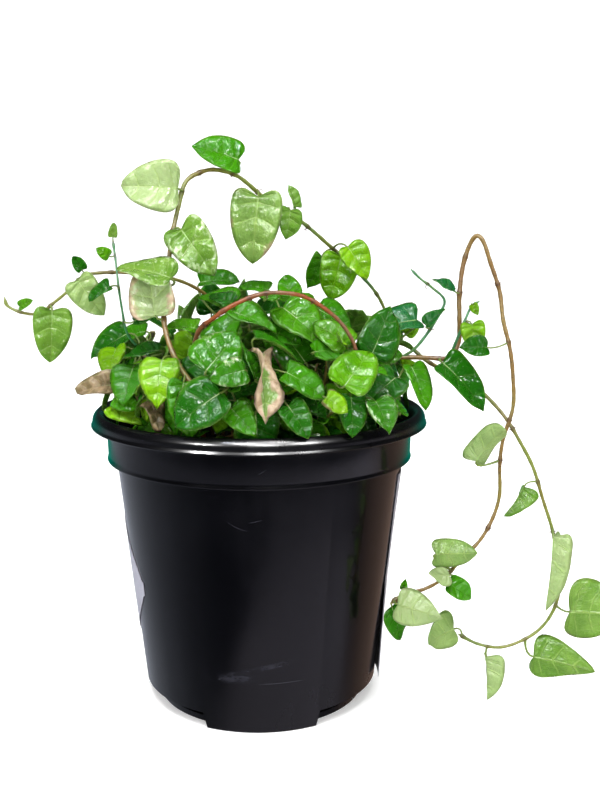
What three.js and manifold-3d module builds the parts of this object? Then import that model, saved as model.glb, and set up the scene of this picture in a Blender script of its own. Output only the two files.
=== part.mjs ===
// Potted creeping fig: a mat of short leafy stems in a nursery pot, and long stems that arch out of it.
// Millimetres, +Z up. The origin is on the pot's axis at the ground, and the pot's front faces -Y.
// Directions are [bearing, rise] in degrees: bearing 0 is +X, 90 is +Y, rise is up from level.

import * as THREE from "three";
import { mergeVertices } from "three/addons/utils/BufferGeometryUtils.js";
import Module from "manifold-3d";

const wasm = await Module();
wasm.setup();

// Pot: a thin moulded nursery pot with a rolled rim, a collar, a taper and three wide feet
const POT_HEIGHT = 96.5;
const RIM_RADIUS = 55;
const RIM_DEPTH = 5;
const COLLAR_RADIUS = 49.8;
const COLLAR_FOOT = 80;
const WALL_TOP_RADIUS = 47;
const WALL_FOOT_RADIUS = 38.3;
const WALL = 1.2;
const FLOOR = 1.8;
const FOOT_COUNT = 3;
const NOTCH_HEIGHT = 5.2;
const NOTCH_ANGLE = 66;
const NOTCH_INNER_RADIUS = 34.5;
const POT_SIDES = 36;

// Soil, label and the gap that separate pieces keep
const GAP = 0.3;
const SOIL_MIDDLE = 88;
const SOIL_EDGE = 85;
const LABEL_THICKNESS = 0.4;
const LABEL_LOW = 6;
const LABEL_HIGH = 76;
const LABEL_START = -10;
const LABEL_END = 210;
const LABEL_POINT = 54;
const LABEL_LIFT = 2.6;

// Stems and leaves
const HOLE_DEPTH = 7;
const ROOT_DEPTH = 5;
const STEM_SIDES = 5;
const THIN_STEM = 0.7;
const SHOOT_SHARE = 0.7;
const STEM_STEP = 8.5;
const BLADE_THICKNESS = 0.62;
const PETIOLE = 0.42;
const GROUND_CLEARANCE = 2;
const MAT_STEMS = 30;
const BACK_ARC = 235;
const GOLDEN = 0.618034;
const RIM_STEMS = 9;
const RIM_LEAF_HEIGHT = 103;
const MAT_FLOOR = 86;
const MAT_HEIGHT = 46;
const MAT_RADIUS = 53;
const LEAF_LENGTH = 16.5;
const FIRST_NODE = 14;
const NODE_SPACING = 6.5;
const LEAF_GAP = 0.15;
const ATTEMPTS = 60;
const DRAW_FACTOR = 16807;
const DRAW_RANGE = 2147483647;

const UP = new THREE.Vector3(0, 0, 1);
const vec = (p) => new THREE.Vector3(...p);
const rad = THREE.MathUtils.degToRad;

// Unit vector for a bearing and a rise in degrees
function heading([bearing, rise]) {
  const level = Math.cos(rad(rise));
  return new THREE.Vector3(
    level * Math.cos(rad(bearing)),
    level * Math.sin(rad(bearing)),
    Math.sin(rad(rise)),
  );
}

// Seeded draws from 0 to 1, the same for the same three numbers
function drawsFor(stem, leaf, attempt) {
  let state = 1 + stem * 7919 + leaf * 271 + attempt * 17;
  const draw = () => {
    state = (state * DRAW_FACTOR) % DRAW_RANGE;
    return state / DRAW_RANGE;
  };
  draw();
  draw();
  return draw;
}

// A closed three.js geometry as a solid, and back
function solidOf(geometry) {
  const bare = geometry.clone();
  bare.deleteAttribute("normal");
  bare.deleteAttribute("uv");
  const merged = mergeVertices(bare, 1e-4);
  return new wasm.Manifold(
    new wasm.Mesh({
      numProp: 3,
      vertProperties: new Float32Array(merged.attributes.position.array),
      triVerts: new Uint32Array(merged.index.array),
    }),
  );
}

function meshOf(name, solid, look) {
  const { vertProperties, triVerts } = solid.getMesh();
  const geometry = new THREE.BufferGeometry();
  geometry.setAttribute("position", new THREE.BufferAttribute(new Float32Array(vertProperties), 3));
  geometry.setIndex(new THREE.BufferAttribute(new Uint32Array(triVerts), 1));
  geometry.computeVertexNormals();
  const mesh = new THREE.Mesh(geometry, new THREE.MeshStandardMaterial(look));
  mesh.name = name;
  return mesh;
}

function faceted(points, faces) {
  const geometry = new THREE.BufferGeometry().setFromPoints(points);
  geometry.setIndex(faces.flat());
  return geometry;
}

// Lathe turned so that its axis is Z; the profile is [radius, height] from the axis and back to it
function turned(profile, sides = POT_SIDES) {
  const geometry = new THREE.LatheGeometry(
    profile.map(([r, z]) => new THREE.Vector2(r, z)),
    sides,
  );
  return geometry.rotateX(Math.PI / 2);
}

// Outer radius of the pot's wall below the collar, at a height
function wallRadius(z) {
  return WALL_FOOT_RADIUS + ((WALL_TOP_RADIUS - WALL_FOOT_RADIUS) * z) / COLLAR_FOOT;
}

// Height of the soil's low crown
function soilHeight(r) {
  return SOIL_EDGE + (SOIL_MIDDLE - SOIL_EDGE) * (1 - (r / WALL_TOP_RADIUS) ** 2);
}

// The mat is a half ellipsoid: the way out of it at a point
function matNormal(p) {
  return new THREE.Vector3(
    p.x / MAT_RADIUS ** 2,
    p.y / MAT_RADIUS ** 2,
    Math.max(0, p.z - MAT_FLOOR) / MAT_HEIGHT ** 2,
  ).normalize();
}

// Pot: one turned wall with its rolled rim and floor, less three notches along the bottom edge
function pot() {
  const rimFoot = POT_HEIGHT - RIM_DEPTH;
  let made = solidOf(
    turned([
      [0, 0],
      [WALL_FOOT_RADIUS, 0],
      [wallRadius(COLLAR_FOOT), COLLAR_FOOT],
      [COLLAR_RADIUS, COLLAR_FOOT + 0.8],
      [COLLAR_RADIUS + 0.2, rimFoot],
      [RIM_RADIUS - 0.8, rimFoot + 0.2],
      [RIM_RADIUS, rimFoot + 1.2],
      [RIM_RADIUS - 0.1, POT_HEIGHT - 1.6],
      [RIM_RADIUS - 1.2, POT_HEIGHT - 0.3],
      [RIM_RADIUS - 2.6, POT_HEIGHT],
      [RIM_RADIUS - 4, POT_HEIGHT - 1],
      [COLLAR_RADIUS - WALL, rimFoot - 2],
      [COLLAR_RADIUS - WALL, COLLAR_FOOT + 1],
      [wallRadius(COLLAR_FOOT) - WALL, COLLAR_FOOT - 0.5],
      [wallRadius(FLOOR) - WALL, FLOOR],
      [0, FLOOR],
    ]),
  );
  for (let i = 0; i < FOOT_COUNT; i += 1) {
    // The front foot is centred on the front, so the first notch is half a pitch round from it
    const middle = rad(-90 + (360 / FOOT_COUNT) * (i + 0.5));
    const half = rad(NOTCH_ANGLE / 2);
    const outline = new THREE.Shape();
    outline.absarc(0, 0, RIM_RADIUS, middle - half, middle + half, false);
    outline.absarc(0, 0, NOTCH_INNER_RADIUS, middle + half, middle - half, true);
    const notch = new THREE.ExtrudeGeometry(outline, {
      depth: NOTCH_HEIGHT + 1,
      curveSegments: 7,
      bevelEnabled: false,
    }).translate(0, 0, -1);
    made = made.subtract(solidOf(notch));
  }
  return made;
}

// Soil: a plug that follows the inside of the wall, with a low crown
function soilPlug() {
  const edge = wallRadius(COLLAR_FOOT) - WALL - GAP;
  const foot = FLOOR + GAP;
  const profile = [
    [0, foot],
    [NOTCH_INNER_RADIUS - 1, foot],
    [wallRadius(NOTCH_HEIGHT) - WALL - GAP, NOTCH_HEIGHT + GAP],
    [edge, COLLAR_FOOT],
    [edge, SOIL_EDGE],
    [0, SOIL_MIDDLE],
  ];
  return solidOf(turned(profile));
}

// The plug with a hole for each stem
function soil(plug, stems) {
  let made = plug;
  for (const { curves, radius } of stems) {
    const { x, y } = curves[0].axis[0];
    const size = radius + 2 * GAP;
    const hole = new THREE.CylinderGeometry(size, size, 2 * HOLE_DEPTH, STEM_SIDES);
    hole.rotateX(Math.PI / 2).translate(x, y, soilHeight(Math.hypot(x, y)));
    made = made.subtract(solidOf(hole));
  }
  return made;
}

// Label: a thin sleeve part of the way round the back, with a bluntly pointed end and a loose corner
function label() {
  const step = 360 / POT_SIDES;
  const columns = Math.round((LABEL_END - LABEL_START) / step);
  const middle = (LABEL_LOW + LABEL_HIGH) / 2;
  const points = [];
  const faces = [];
  const at = (column, row, layer) => column * 4 + row * 2 + layer;
  for (let i = 0; i <= columns; i += 1) {
    const bearing = LABEL_START + i * step;
    const intoPoint = Math.max(0, (bearing - (LABEL_END - LABEL_POINT)) / LABEL_POINT);
    const half = ((LABEL_HIGH - LABEL_LOW) / 2) * Math.max(0.06, (1 - intoPoint) ** 0.74);
    for (const z of [middle - half, middle + half]) {
      const loose = LABEL_LIFT * Math.max(0, 1 - i / 2) * (z < middle ? 1 : 0);
      for (const out of [0, LABEL_THICKNESS]) {
        const r = wallRadius(z) + GAP + loose + out;
        points.push(new THREE.Vector3(r * Math.cos(rad(bearing)), r * Math.sin(rad(bearing)), z));
      }
    }
  }
  const quad = (a, b, c, d) => faces.push([a, b, c], [a, c, d]);
  for (let i = 0; i < columns; i += 1) {
    const j = i + 1;
    quad(at(i, 0, 1), at(j, 0, 1), at(j, 1, 1), at(i, 1, 1));
    quad(at(i, 0, 0), at(i, 1, 0), at(j, 1, 0), at(j, 0, 0));
    quad(at(i, 0, 0), at(j, 0, 0), at(j, 0, 1), at(i, 0, 1));
    quad(at(i, 1, 0), at(i, 1, 1), at(j, 1, 1), at(j, 1, 0));
  }
  quad(at(0, 0, 0), at(0, 0, 1), at(0, 1, 1), at(0, 1, 0));
  quad(at(columns, 0, 0), at(columns, 1, 0), at(columns, 1, 1), at(columns, 0, 1));
  return solidOf(faceted(points, faces));
}

// A stem's smooth curve through its route, and the straight pieces that its body follows
function curveOf(route) {
  const curve = new THREE.CatmullRomCurve3(route.map(vec), false, "catmullrom", 0.5);
  const steps = Math.max(3, Math.round(curve.getLength() / STEM_STEP));
  return { curve, steps, axis: curve.getSpacedPoints(steps) };
}

// Stem: a five-sided section along the straight pieces
function stemTube({ curve, steps }, radius) {
  const section = new THREE.Shape();
  for (let i = 0; i < STEM_SIDES; i += 1) {
    const turn = (2 * Math.PI * i) / STEM_SIDES;
    section[i ? "lineTo" : "moveTo"](radius * Math.cos(turn), radius * Math.sin(turn));
  }
  section.closePath();
  return solidOf(
    new THREE.ExtrudeGeometry(section, { steps, bevelEnabled: false, extrudePath: curve }),
  );
}

// Blade outline on one side of the midrib: across in half widths, along in lengths
const BLADE_SIDE = [
  [0.05, 0],
  [0.5, -0.12],
  [1, 0.24],
  [0.78, 0.66],
];
const MIDRIB_POINT = 0.42;

// A point of the blade, which folds along its midrib and curls down towards its tip
function bladePoint(leaf, across, along, layer) {
  const { base, forward, side, normal, long, wide, fold, curl } = leaf;
  const turn = curl * along;
  const bend = long / curl;
  const out = (across * wide) / 2;
  const lifted = normal.clone().multiplyScalar(Math.cos(turn));
  lifted.addScaledVector(forward, Math.sin(turn));
  return base
    .clone()
    .addScaledVector(forward, bend * Math.sin(turn))
    .addScaledVector(normal, -bend * (1 - Math.cos(turn)))
    .addScaledVector(side, out * Math.cos(fold))
    .addScaledVector(lifted, Math.abs(out) * Math.sin(fold) + layer);
}

// Blade and petiole as one closed skin; grown thickens it all round
function leafSolid(leaf, grown = 0, withPetiole = true) {
  const half = BLADE_THICKNESS / 2 + grown;
  const big = {
    ...leaf,
    long: leaf.long + 2 * grown,
    wide: leaf.wide + 2 * grown,
    base: leaf.base.clone().addScaledVector(leaf.forward, -grown),
  };
  const rim = [...BLADE_SIDE, [0, 1], ...BLADE_SIDE.map(([x, y]) => [-x, y]).reverse()];
  const last = rim.length - 1;
  const points = rim.map(([x, y]) => bladePoint(big, x, y, half));
  points.push(bladePoint(big, 0, MIDRIB_POINT, half));
  // Underneath, the two sides of the notch meet in one point
  points.push(bladePoint(big, 0, 0, -half));
  points.push(...rim.slice(1, last).map(([x, y]) => bladePoint(big, x, y, -half)));
  points.push(bladePoint(big, 0, MIDRIB_POINT, -half));
  const topMiddle = last + 1;
  const under = (i) => last + 2 + (i === last ? 0 : i);
  const underMiddle = points.length - 1;
  const faces = [[topMiddle, last, 0]];
  for (let i = 0; i < last; i += 1) {
    faces.push([topMiddle, i, i + 1], [underMiddle, under(i + 1), under(i)]);
    faces.push([i, under(i), under(i + 1)], [i, under(i + 1), i + 1]);
  }
  // The petiole carries on, three-sided, from the small triangle that the blade leaves open
  let ring = [0, under(0), last];
  const stations = withPetiole ? leaf.petiole : [];
  const size = PETIOLE + grown;
  stations.forEach((place, k) => {
    const before = k ? stations[k - 1] : leaf.base;
    const after = stations[k + 1] ?? place;
    const run = before.clone().sub(after).normalize();
    const level = leaf.side.clone().addScaledVector(run, -leaf.side.dot(run)).normalize();
    const rise = new THREE.Vector3().crossVectors(level, run).normalize();
    const start = points.length;
    for (const [across, up] of [[1.1, 0.6], [0, -1.2], [-1.1, 0.6]]) {
      const corner = place.clone().addScaledVector(level, across * size);
      points.push(corner.addScaledVector(rise, up * size));
    }
    const next = [start, start + 1, start + 2];
    for (let i = 0; i < 3; i += 1) {
      const j = (i + 1) % 3;
      faces.push([ring[i], next[i], next[j]], [ring[i], next[j], ring[j]]);
    }
    ring = next;
  });
  faces.push([ring[0], ring[2], ring[1]]);
  return solidOf(faceted(points, faces));
}

// A leaf's frame from its base, the way its tip points and the way its upper face looks
function leafAt(base, points, faces, long, wide, fold, curl, curves) {
  const forward = points.clone().normalize();
  const side = new THREE.Vector3().crossVectors(forward, faces).normalize();
  const normal = new THREE.Vector3().crossVectors(side, forward).normalize();
  const leaf = { base, forward, side, normal, long, wide, fold, curl };
  const root = nearestOn(curves, base);
  const toRoot = root.clone().sub(base).normalize();
  const behind = -toRoot.dot(forward);
  const below = -toRoot.dot(normal);
  leaf.petiole = [root];
  if (behind < (below > 0.5 ? -0.3 : 0.45)) {
    const knee = base.clone().addScaledVector(forward, -1.8).addScaledVector(normal, -1.2);
    leaf.petiole = [knee, root];
  }
  return leaf;
}

// The nearest point in the middle of a stem's straight pieces, out of the soil
function nearestOn(curves, p) {
  let best = null;
  let least = Infinity;
  for (const { steps, axis } of curves) {
    for (let i = 0; i < steps; i += 0.1) {
      const piece = Math.floor(i);
      const q = axis[piece].clone().lerp(axis[piece + 1], i - piece);
      const far = q.distanceTo(p);
      const buried = q.z < SOIL_MIDDLE + 2 && Math.hypot(q.x, q.y) < COLLAR_RADIUS;
      if (far < least && !buried) {
        least = far;
        best = q;
      }
    }
  }
  return best;
}

// What has been placed so far, each with its box, and the tests that a new piece is clear of it
const placed = [];

function place(solid, node, blade = solid) {
  const { min, max } = solid.boundingBox();
  placed.push({ solid, node, blade, min, max });
}

function boxesMeet({ min, max }, other) {
  return [0, 1, 2].every((i) => min[i] <= other.max[i] && max[i] >= other.min[i]);
}

function isClear(grown, node) {
  const box = grown.boundingBox();
  if (box.min[2] < GROUND_CLEARANCE) {
    return false;
  }
  return placed.every((other) => {
    const passed = other.node === node || !boxesMeet(box, other);
    return passed || grown.intersect(other.solid).isEmpty();
  });
}

// Within one plant petioles may meet, because they grow from one stem, but no blade meets anything
function isClearAtHome(whole, blade, node) {
  const box = whole.boundingBox();
  return placed.every((other) => {
    const passed = other.node !== node || !boxesMeet(box, other);
    const free = () => blade.intersect(other.solid).isEmpty();
    const bare = () => other.blade === other.solid || whole.intersect(other.blade).isEmpty();
    return passed || (free() && bare());
  });
}

// Hand-placed stems: a route from the soil to the tip, side shoots and leaves.
// leaf(base, way the tip points, way the upper face looks, length, width, fold and curl in degrees)
const leaf = (base, points, faces, long, wide, fold = 14, curl = 24) => ({
  base,
  points,
  faces,
  long,
  wide,
  fold,
  curl,
});

const TALL_ARCH = {
  name: "tall_arch",
  radius: 0.95,
  route: [
    [5, -40, 81], [5, -40, 90], [1, -43, 96], [-5, -45, 100], [-10, -45, 103], [-17, -43, 108],
    [-23, -40, 115], [-27, -36, 124], [-28, -31, 132], [-27, -26, 142], [-26, -23, 151],
    [-24, -19, 161], [-22, -16, 168], [-18, -13, 171], [-13, -11, 172], [-6, -8, 170], [4, -3, 162],
    [13, 1, 157], [24, 7, 148], [35, 13, 138], [41, 17, 131], [45, 20, 123],
  ],
  leaves: [
    leaf([-24, -20, 166], [-175, 5], [-90, 10], 17.5, 16),
    leaf([-6, -11, 175], [-160, 20], [-80, 25], 15, 12.5),
    leaf([-23, -25, 154], [-25, -50], [-85, 5], 17, 13.5),
    leaf([0, -9, 164], [-115, -75], [-95, 0], 21, 16.5),
    leaf([10, -5, 160], [-100, -75], [-60, 0], 9.5, 9),
    leaf([12, -1, 161], [180, 80], [-40, 10], 7.5, 6),
    leaf([27, 4, 145], [-135, -70], [-85, 15], 14.5, 13),
    leaf([21, 9, 145], [-170, -70], [-60, 10], 12, 9),
    leaf([28, 3, 148], [-10, -55], [-80, 10], 13, 11),
    leaf([-30, -35, 129], [125, 72], [-95, 5], 17, 14),
    leaf([-25, -33, 138], [172, 18], [-85, 50], 17.5, 14),
  ],
};

const LEFT_RUNNER = {
  name: "left_runner",
  radius: 0.75,
  route: [
    [-6, 4, 81], [-6, 4, 90], [-7, 3, 103], [-8, 1, 115], [-9, -2, 125], [-16, -8, 133],
    [-24, -13, 138], [-33, -16, 140], [-41, -18, 141], [-48, -20, 141], [-53, -21, 140],
    [-57, -22, 136], [-62, -22, 132], [-66, -22, 129], [-71, -21, 129], [-76, -20, 131],
    [-77, -20, 134],
  ],
  leaves: [
    leaf([-53, -22, 142], [180, 60], [-80, 20], 5, 4),
    leaf([-54, -24, 139], [-15, -55], [-95, 0], 13, 10),
    leaf([-62, -24, 130], [-95, -80], [-70, 0], 16, 12),
    leaf([-72, -22, 131], [-15, 30], [-90, 30], 4.5, 3.5),
  ],
};

const THIN_SHOOT = {
  name: "thin_shoot",
  radius: 0.55,
  route: [
    [-26, -14, 81], [-26, -14, 90], [-28, -15, 102], [-32, -19, 113], [-38, -23, 120], [-40, -25, 124],
    [-41, -25, 130], [-42, -24, 137], [-43, -21, 144], [-44, -19, 151],
  ],
  leaves: [
    leaf([-44, -19, 151.5], [0, 85], [-90, 0], 4.5, 3),
    leaf([-45, -21, 146], [-160, 35], [-90, 20], 4.5, 4),
    leaf([-44, -28, 137], [-175, -25], [-80, 60], 8, 7),
    leaf([-37, -27, 127], [0, 25], [-60, 60], 8.5, 6.5),
  ],
};

const RED_ARCH = {
  name: "red_arch",
  radius: 0.95,
  route: [
    [-18, -16, 81], [-18, -16, 90], [-19, -22, 103], [-20, -29, 113], [-18, -36, 124],
    [-13, -40, 129], [-7, -42, 133], [1, -42, 136], [9, -41, 136], [15, -39, 134], [22, -38, 129],
    [26, -38, 124], [28, -38, 119], [26, -38, 115], [23, -38, 111],
  ],
  leaves: [
    leaf([-7, -34, 130], [-20, -15], [-85, 65], 14, 11),
    leaf([2, -36, 134], [60, 20], [-80, 60], 8, 6.5),
  ],
};

const BIG_ARCH = {
  name: "big_arch",
  radius: 0.95,
  route: [
    [24, -8, 81], [24, -8, 90], [25, -9, 101], [30, -12, 109], [38, -13, 113], [45, -14, 114],
    [53, -15, 114], [60, -15, 114], [63, -14, 119], [63, -14, 127], [63, -13, 133], [64, -12, 142],
    [66, -12, 149], [68, -13, 152], [70, -14, 150], [72, -15, 144], [75, -16, 135], [76, -18, 126],
    [78, -20, 117], [79, -21, 108], [79, -22, 99], [76, -23, 89], [75, -24, 81], [75, -25, 72],
    [73, -26, 65], [69, -27, 58], [63, -28, 52], [57, -29, 46], [51, -30, 43], [45, -31, 42],
    [40, -32, 39],
  ],
  shoots: [
    [[45, -14, 114], [49, -15, 117], [53, -15, 122], [56, -15, 127], [58, -15, 132], [54, -15, 136],
      [50, -15, 139], [47, -15, 142]],
    [[60, -15, 114], [62, -18, 121], [64, -18, 126], [66, -17, 130], [69, -16, 132]],
  ],
  leaves: [
    leaf([67, -26, 83], [-10, 62], [100, 0], 16, 10, 30, 50),
    leaf([54, -32, 55], [8, 0], [95, -10], 13, 9.5),
    leaf([58, -34, 49], [-165, 5], [80, -45], 8, 7),
    leaf([57, -31, 46], [-5, -25], [-90, 50], 9, 7.5),
    leaf([44, -32, 44], [-55, 70], [-90, 0], 3.5, 2.5),
    leaf([42, -35, 40], [-5, -15], [90, -10], 14.5, 12),
    leaf([41, -29, 37], [0, -70], [-60, -10], 13, 9),
    leaf([52, -15, 122], [-10, 42], [-90, 65], 8.5, 5.5),
    leaf([61, -15, 135], [180, 38], [-90, 70], 8, 6),
    leaf([66, -19, 125], [-60, -75], [-100, 10], 9, 8),
    leaf([71, -21, 117], [-170, 10], [-90, 40], 9.5, 8),
    leaf([66, -19, 131], [0, -60], [-90, 0], 4, 3),
    leaf([57, -18, 113], [-20, -40], [-60, 25], 21, 14.5, 20, 30),
  ],
};

const SECOND_TRAIL = {
  name: "second_trail",
  radius: 0.8,
  route: [
    [31, 6, 81], [31, 6, 90], [32, 6, 102], [35, 4, 112], [43, 0, 117], [49, -3, 116], [54, -5, 112],
    [61, -6, 108], [68, -8, 105], [74, -10, 100], [79, -14, 94], [83, -17, 87], [87, -19, 79],
    [90, -21, 69], [93, -23, 59], [94, -25, 50], [95, -26, 41], [93, -27, 34], [89, -27, 28],
    [83, -27, 24], [76, -27, 22], [69, -26, 23], [63, -25, 26],
  ],
  leaves: [
    leaf([84, -20, 73], [-165, -65], [20, 10], 11.5, 11, 35),
    leaf([91, -31, 60], [-100, -87], [20, 0], 24, 12, 50, 10),
    leaf([98, -28, 34], [0, 0], [95, 10], 20, 22),
    leaf([87, -28, 19], [-5, -8], [95, 5], 19.5, 14.5),
    leaf([72, -27, 19], [-25, -78], [30, 0], 14, 11.5, 30),
    leaf([61, -28, 29], [-160, -15], [90, 5], 11, 13),
    leaf([65, -10, 106], [-30, -50], [-90, 10], 5.5, 4),
  ],
};

// Short stems in the front of the mat, with the leaves that show from there
const FRONT_STEMS = [
  {
    route: [[-24, -4, 81], [-24, -4, 92], [-28, -6, 104], [-33, -8, 111], [-38, -9, 115]],
    leaves: [
      leaf([-42, -4, 121], [-170, -25], [-110, 45], 15, 12),
      leaf([-37, 2, 121], [170, -10], [-130, 60], 13, 11),
      leaf([-30, -27, 118], [175, 0], [-100, 65], 12, 10),
      leaf([-45, -12, 117], [-110, -45], [-120, 35], 12, 10),
      leaf([-45, -22, 107], [-165, 0], [-110, 30], 12, 9, 30, 50),
    ],
  },
  {
    route: [[-29, -24, 81], [-29, -24, 90], [-32, -27, 97], [-35, -30, 102], [-37, -31, 106]],
    leaves: [
      leaf([-38, -26, 113], [-110, -45], [-110, 35], 13, 12),
      leaf([-43, -28, 104], [-30, -10], [-115, 40], 10, 8),
      leaf([-42, -26, 100], [-42, -8], [-110, 50], 14, 11),
      leaf([-32, -37, 104], [-60, -40], [-60, 35], 10, 8),
    ],
  },
  {
    route: [[-19, -27, 81], [-19, -27, 92], [-21, -30, 103], [-22, -33, 110], [-22, -34, 115]],
    leaves: [
      leaf([-28, -40, 117], [-105, -60], [-100, 25], 14.5, 12.5),
      leaf([-22, -43, 111], [-110, -60], [-80, 20], 13, 10, 30),
      leaf([-17, -30, 122], [150, 25], [-100, 50], 12, 11),
    ],
  },
  {
    route: [[-8, -33, 81], [-8, -33, 92], [-9, -37, 100], [-10, -40, 106], [-9, -42, 110]],
    leaves: [
      leaf([-15, -49, 115], [30, 45], [-95, 25], 15, 15.5, 8, 12),
      leaf([-6, -45, 113], [-170, -15], [-95, 45], 12, 10),
      leaf([-11, -51, 109], [-165, -30], [-95, 30], 16, 14.5),
      leaf([-8, -48, 104], [-40, -35], [-95, 35], 11, 9),
    ],
  },
  {
    route: [[-12, -8, 81], [-12, -8, 92], [-13, -9, 105], [-13, -11, 118], [-12, -13, 127]],
    leaves: [
      leaf([-19, 0, 137], [0, 10], [-90, 60], 13, 10),
      leaf([-7, -18, 132], [170, 15], [-95, 60], 13, 11),
      leaf([-9, -22, 133], [150, 35], [-100, 45], 10, 8),
    ],
  },
  {
    route: [[8, -14, 81], [8, -14, 92], [8, -16, 105], [7, -19, 117], [6, -22, 125]],
    leaves: [
      leaf([10, -12, 133], [110, 60], [-90, 30], 9, 8),
      leaf([3, -8, 135], [170, 15], [-90, 65], 10, 9),
      leaf([7, -29, 131], [-30, -30], [-80, 45], 18, 15),
      leaf([2, -33, 125], [-15, -15], [-80, 45], 12, 11),
    ],
  },
  {
    route: [[4, -27, 81], [4, -27, 92], [4, -33, 102], [4, -37, 109], [2, -39, 114]],
    leaves: [
      leaf([0, -46, 119], [-70, -65], [-40, 15], 20, 11, 40, 10),
      leaf([-1, -46, 113], [110, 60], [-30, 10], 13, 9),
      leaf([-2, -42, 120], [0, -10], [-85, 80], 18, 9, 20, 40),
      leaf([8, -50, 105], [-40, -45], [-80, 35], 11, 9),
      leaf([6, -46, 112], [-10, -25], [-85, 55], 14, 11),
    ],
  },
  {
    route: [[17, -33, 81], [17, -33, 92], [19, -37, 98], [22, -40, 102], [26, -41, 104]],
    leaves: [
      leaf([12, -50, 105], [-5, -25], [-80, 60], 13, 11),
      leaf([18, -50, 107], [-10, -30], [-80, 35], 8, 7),
      leaf([26, -46, 107], [-80, -65], [-75, 20], 12, 9.5),
      leaf([32, -44, 104], [-50, -50], [-65, 35], 11, 11),
    ],
  },
  {
    route: [[18, -22, 81], [18, -22, 92], [19, -26, 103], [20, -29, 112], [20, -32, 118]],
    leaves: [
      leaf([24, -47, 110], [35, 45], [-80, 30], 15, 13.5),
      leaf([16, -40, 119], [10, 5], [-85, 60], 12, 10),
      leaf([18, -24, 130], [-20, -25], [-75, 50], 13, 12),
    ],
  },
  {
    route: [[32, -22, 81], [32, -22, 91], [35, -25, 98], [38, -28, 103], [41, -29, 105]],
    leaves: [
      leaf([41, -30, 110], [-150, -30], [-70, 45], 14, 12),
      leaf([36, -33, 105], [-50, -45], [-60, 30], 10, 8.5),
      leaf([47, -21, 112], [-45, -55], [-50, 25], 14.5, 11),
    ],
  },
  {
    route: [[33, -3, 81], [33, -3, 92], [36, -4, 103], [39, -5, 111], [42, -6, 117]],
    leaves: [
      leaf([51, -5, 125], [-170, -5], [-75, 55], 17, 14),
      leaf([46, -3, 122], [10, 50], [-75, 30], 9, 9),
      leaf([41, -19, 118], [-160, -30], [-70, 40], 12, 11),
    ],
  },
];

const HAND_PLACED = [
  TALL_ARCH,
  LEFT_RUNNER,
  THIN_SHOOT,
  RED_ARCH,
  BIG_ARCH,
  SECOND_TRAIL,
  ...FRONT_STEMS.map((stem, i) => ({ ...stem, name: `front_stem_${i + 1}`, radius: THIN_STEM })),
];

// A hand-placed leaf, nudged a little further each time that it meets something
function handLeaf(row, curves, draw, attempt) {
  const nudge = attempt / ATTEMPTS;
  const shift = () => (draw() - 0.5) * 2 * nudge;
  const faces = [row.faces[0] + 35 * shift(), row.faces[1] + 25 * shift()];
  const points = [row.points[0] + 25 * shift(), row.points[1] + 20 * shift()];
  const base = vec(row.base).addScaledVector(heading(faces), 6 * nudge * draw());
  base.add(new THREE.Vector3(2.5 * shift(), 2.5 * shift(), 2.5 * shift()));
  const size = 1 - 0.25 * nudge * draw();
  return leafAt(
    base,
    heading(points),
    heading(faces),
    row.long * size,
    row.wide * size,
    rad(row.fold),
    rad(row.curl),
    curves,
  );
}

// A leaf of a mat stem, on alternate sides; after several misses it is drawn smaller.
// Low in the mat its petiole rises and the blade hangs outwards, so that it screens the soil.
function matLeaf(curves, along, index, draw, attempt) {
  const at = curves[0].curve.getPointAt(along);
  const run = curves[0].curve.getTangentAt(along);
  const out = matNormal(at);
  const flank = new THREE.Vector3().crossVectors(out, run).normalize();
  flank.multiplyScalar(index % 2 ? 1 : -1);
  const low = at.z < RIM_LEAF_HEIGHT;
  const ends = along > 0.97 && !low;
  const base = at.clone();
  const points = new THREE.Vector3();
  const faces = out.clone();
  if (low) {
    base.addScaledVector(UP, 7 + 9 * draw());
    base.addScaledVector(out, 1 + 3 * draw());
    base.addScaledVector(flank, 2 + 7 * draw());
    points.addScaledVector(out, 0.1 + 0.4 * draw()).addScaledVector(UP, -0.9 + 0.5 * draw());
    points.addScaledVector(flank, draw() - 0.3);
    faces.addScaledVector(UP, 0.3);
  } else {
    base.addScaledVector(out, ends ? 1 + draw() : 3.5 + 4 * draw());
    base.addScaledVector(flank, ends ? draw() : 2 + 3 * draw());
    base.addScaledVector(run, ends ? 2.5 : 2.5 * draw());
    points.addScaledVector(run, ends ? 1 : 0.2 + 0.7 * draw());
    points.addScaledVector(flank, ends ? 0.3 : 0.5 + 0.6 * draw());
    points.addScaledVector(out, -0.25 + 0.5 * draw());
  }
  const tilt = new THREE.Vector3(draw() - 0.5, draw() - 0.5, draw() - 0.5);
  faces.addScaledVector(tilt, 0.9);
  const shrink = attempt > 40 ? 0.62 : attempt > 22 ? 0.8 : 1;
  const long = LEAF_LENGTH * (0.82 + 0.3 * draw()) * (ends ? 0.7 : 1) * shrink;
  const wide = long * (0.82 + 0.14 * draw());
  return leafAt(base, points, faces, long, wide, rad(6 + 16 * draw()), rad(10 + 30 * draw()), curves);
}

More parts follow.
